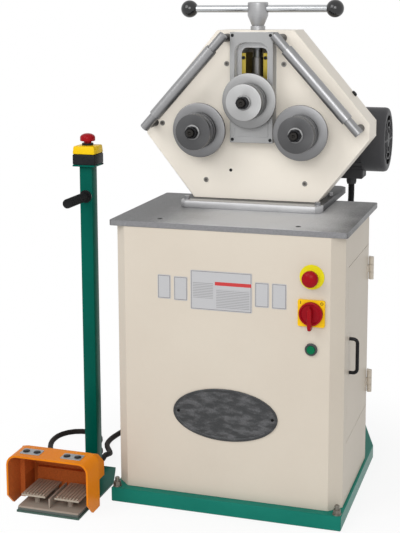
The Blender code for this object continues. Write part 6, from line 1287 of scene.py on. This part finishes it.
# The linings inside the hood's left side are in the hood's painted shade.
hood_lining_painted_shade = enamel("hood_lining_painted_shade", GUARD_INSIDE_PAINTED_SHADE, GUARD_INSIDE_PAINTED_SHADE_CLOUD, roughness=0.5)
for word, size, corner, place, facing in LININGS:
    slab(f"hood_left_{word}", size, corner, 0.0002, hood_lining_painted_shade, place, facing, foot=0.0)
base_coat = enamel("pedal_base_paint", PEDAL_BASE_GREY, PEDAL_BASE_SHADE, roughness=0.45,
                   peel=0.00005, peel_size=0.0016)
along_y = base_coat.along("Y")
along_z = base_coat.along("Z")
# The pedal base's upright under the hood takes the hood's painted shade.
base_coat.patch((along_y > PEDAL_UPRIGHT_FRONT) * (along_z > PEDAL_UPRIGHT_FOOT), GUARD_INSIDE_PAINTED_SHADE, 0.5)
base_coat.short_of("Z", PEDAL_FLOOR_TOP, PEDAL_FLOOR_GREY, 0.5)
dress(base_coat.beyond("Y", PEDAL_GLAND_FRONT, GLAND_BLACK, 0.5), "pedal_base")
treadle = metal("treadle_cast", TREADLE_GREY, 0.44, 0.0016, relief=0.00002, metallic=0.3)
dress(treadle, "pedal_left", "pedal_right")
for word, middle in TREADLES:
    for rib in range(TREADLE_RIBS):
        x = middle + (rib - (TREADLE_RIBS - 1) / 2) * TREADLE_RIB_PITCH
        slab(f"treadle_rib_{word}_{rib}", TREADLE_RIB, 0.0012, 0.0005, treadle,
             (x, TREADLE_MIDDLE_Y, TREADLE_TOP), UPWARD, f"{word}_treadle")
hood_plate = metal("hood_plate_steel", HOOD_PLATE_GREY, 0.4, (0.02, 0.0008, 0.02), metallic=0.6)
for side, word in SIDES:
    x = POST_X + side * HOOD_PLATE_X
    slab(f"hood_plate_{word}", HOOD_PLATE, 0.004, 0.0004, hood_plate, (x, HOOD_PLATE_Y, GUARD_TOP),
         UPWARD)
    for number, shift in enumerate((-HOOD_CAP_SHIFT, HOOD_CAP_SHIFT)):
        turned(f"hood_cap_{word}_{number}", HOOD_CAP_PROFILE, nylon,
               (x + shift, HOOD_PLATE_Y, GUARD_TOP + 0.0010), UPWARD, count=48)


# Switchgear inside the cabinet
# A zinc-plated mounting plate on spacers, with a rail and three grey contactors. It is shut in
# behind the door and seen only when that is open.
PLATE_ZINC = (176, 178, 176)
CONTACTOR_REAR = 0.0587
CONTACTOR_GREY = (92, 94, 96)

switchgear = metal("switchgear_zinc", PLATE_ZINC, 0.36, 0.0040, metallic=0.9)
dress(switchgear.short_of("Y", CONTACTOR_REAR, CONTACTOR_GREY, 0.45), "switchgear_plate")


# Motor conduit
# A corrugated conduit in black plastic that hangs in one bend from the motor's terminal box to the
# gland on the cabinet's back.
CONDUIT_BLACK = (34, 34, 36)
CONDUIT_X = 0.206
CONDUIT_TOP = (0.242, 0.7541)
CONDUIT_END = (0.1013, 0.630)
CONDUIT_RADIUS = 0.009
CONDUIT_PITCH = 0.0030
CONDUIT_GROOVE = 0.0010
CONDUIT_SIDES = 20
LEAD_PITCH = 0.0005
LEAD_STEPS = 36
BEND_STEPS = 360

sideways = Vector((1, 0, 0))
bend_z = CONDUIT_TOP[1] - LEAD_STEPS * LEAD_PITCH
bend_y = CONDUIT_END[0] + LEAD_STEPS * LEAD_PITCH
path = [(CONDUIT_TOP[0], CONDUIT_TOP[1] - step * LEAD_PITCH) for step in range(LEAD_STEPS + 1)]
for step in range(1, BEND_STEPS + 1):
    angle = math.pi / 2 * step / BEND_STEPS
    path.append((bend_y + (CONDUIT_TOP[0] - bend_y) * math.cos(angle),
                 bend_z + (CONDUIT_END[1] - bend_z) * math.sin(angle)))
path += [(bend_y - step * LEAD_PITCH, CONDUIT_END[1]) for step in range(1, LEAD_STEPS + 1)]
run = 0.0
rings = []
for before, here, after in zip(path, path[1:], path[2:]):
    run += math.dist(before, here)
    ahead = Vector((0, after[0] - before[0], after[1] - before[1])).normalized()
    across = sideways.cross(ahead)
    groove = 0.5 - 0.5 * math.cos(math.tau * run / CONDUIT_PITCH)
    radius = CONDUIT_RADIUS - CONDUIT_GROOVE * groove
    centre = Vector((CONDUIT_X, *here))
    rings.append([centre + radius * (math.cos(t) * sideways + math.sin(t) * across)
                  for t in (math.tau * step / CONDUIT_SIDES for step in range(CONDUIT_SIDES))])
stand_in(skin("corrugated_conduit", rings, moulded("conduit_black", CONDUIT_BLACK, 0.42), (0, 0, 0),
              UPWARD), "motor_conduit")
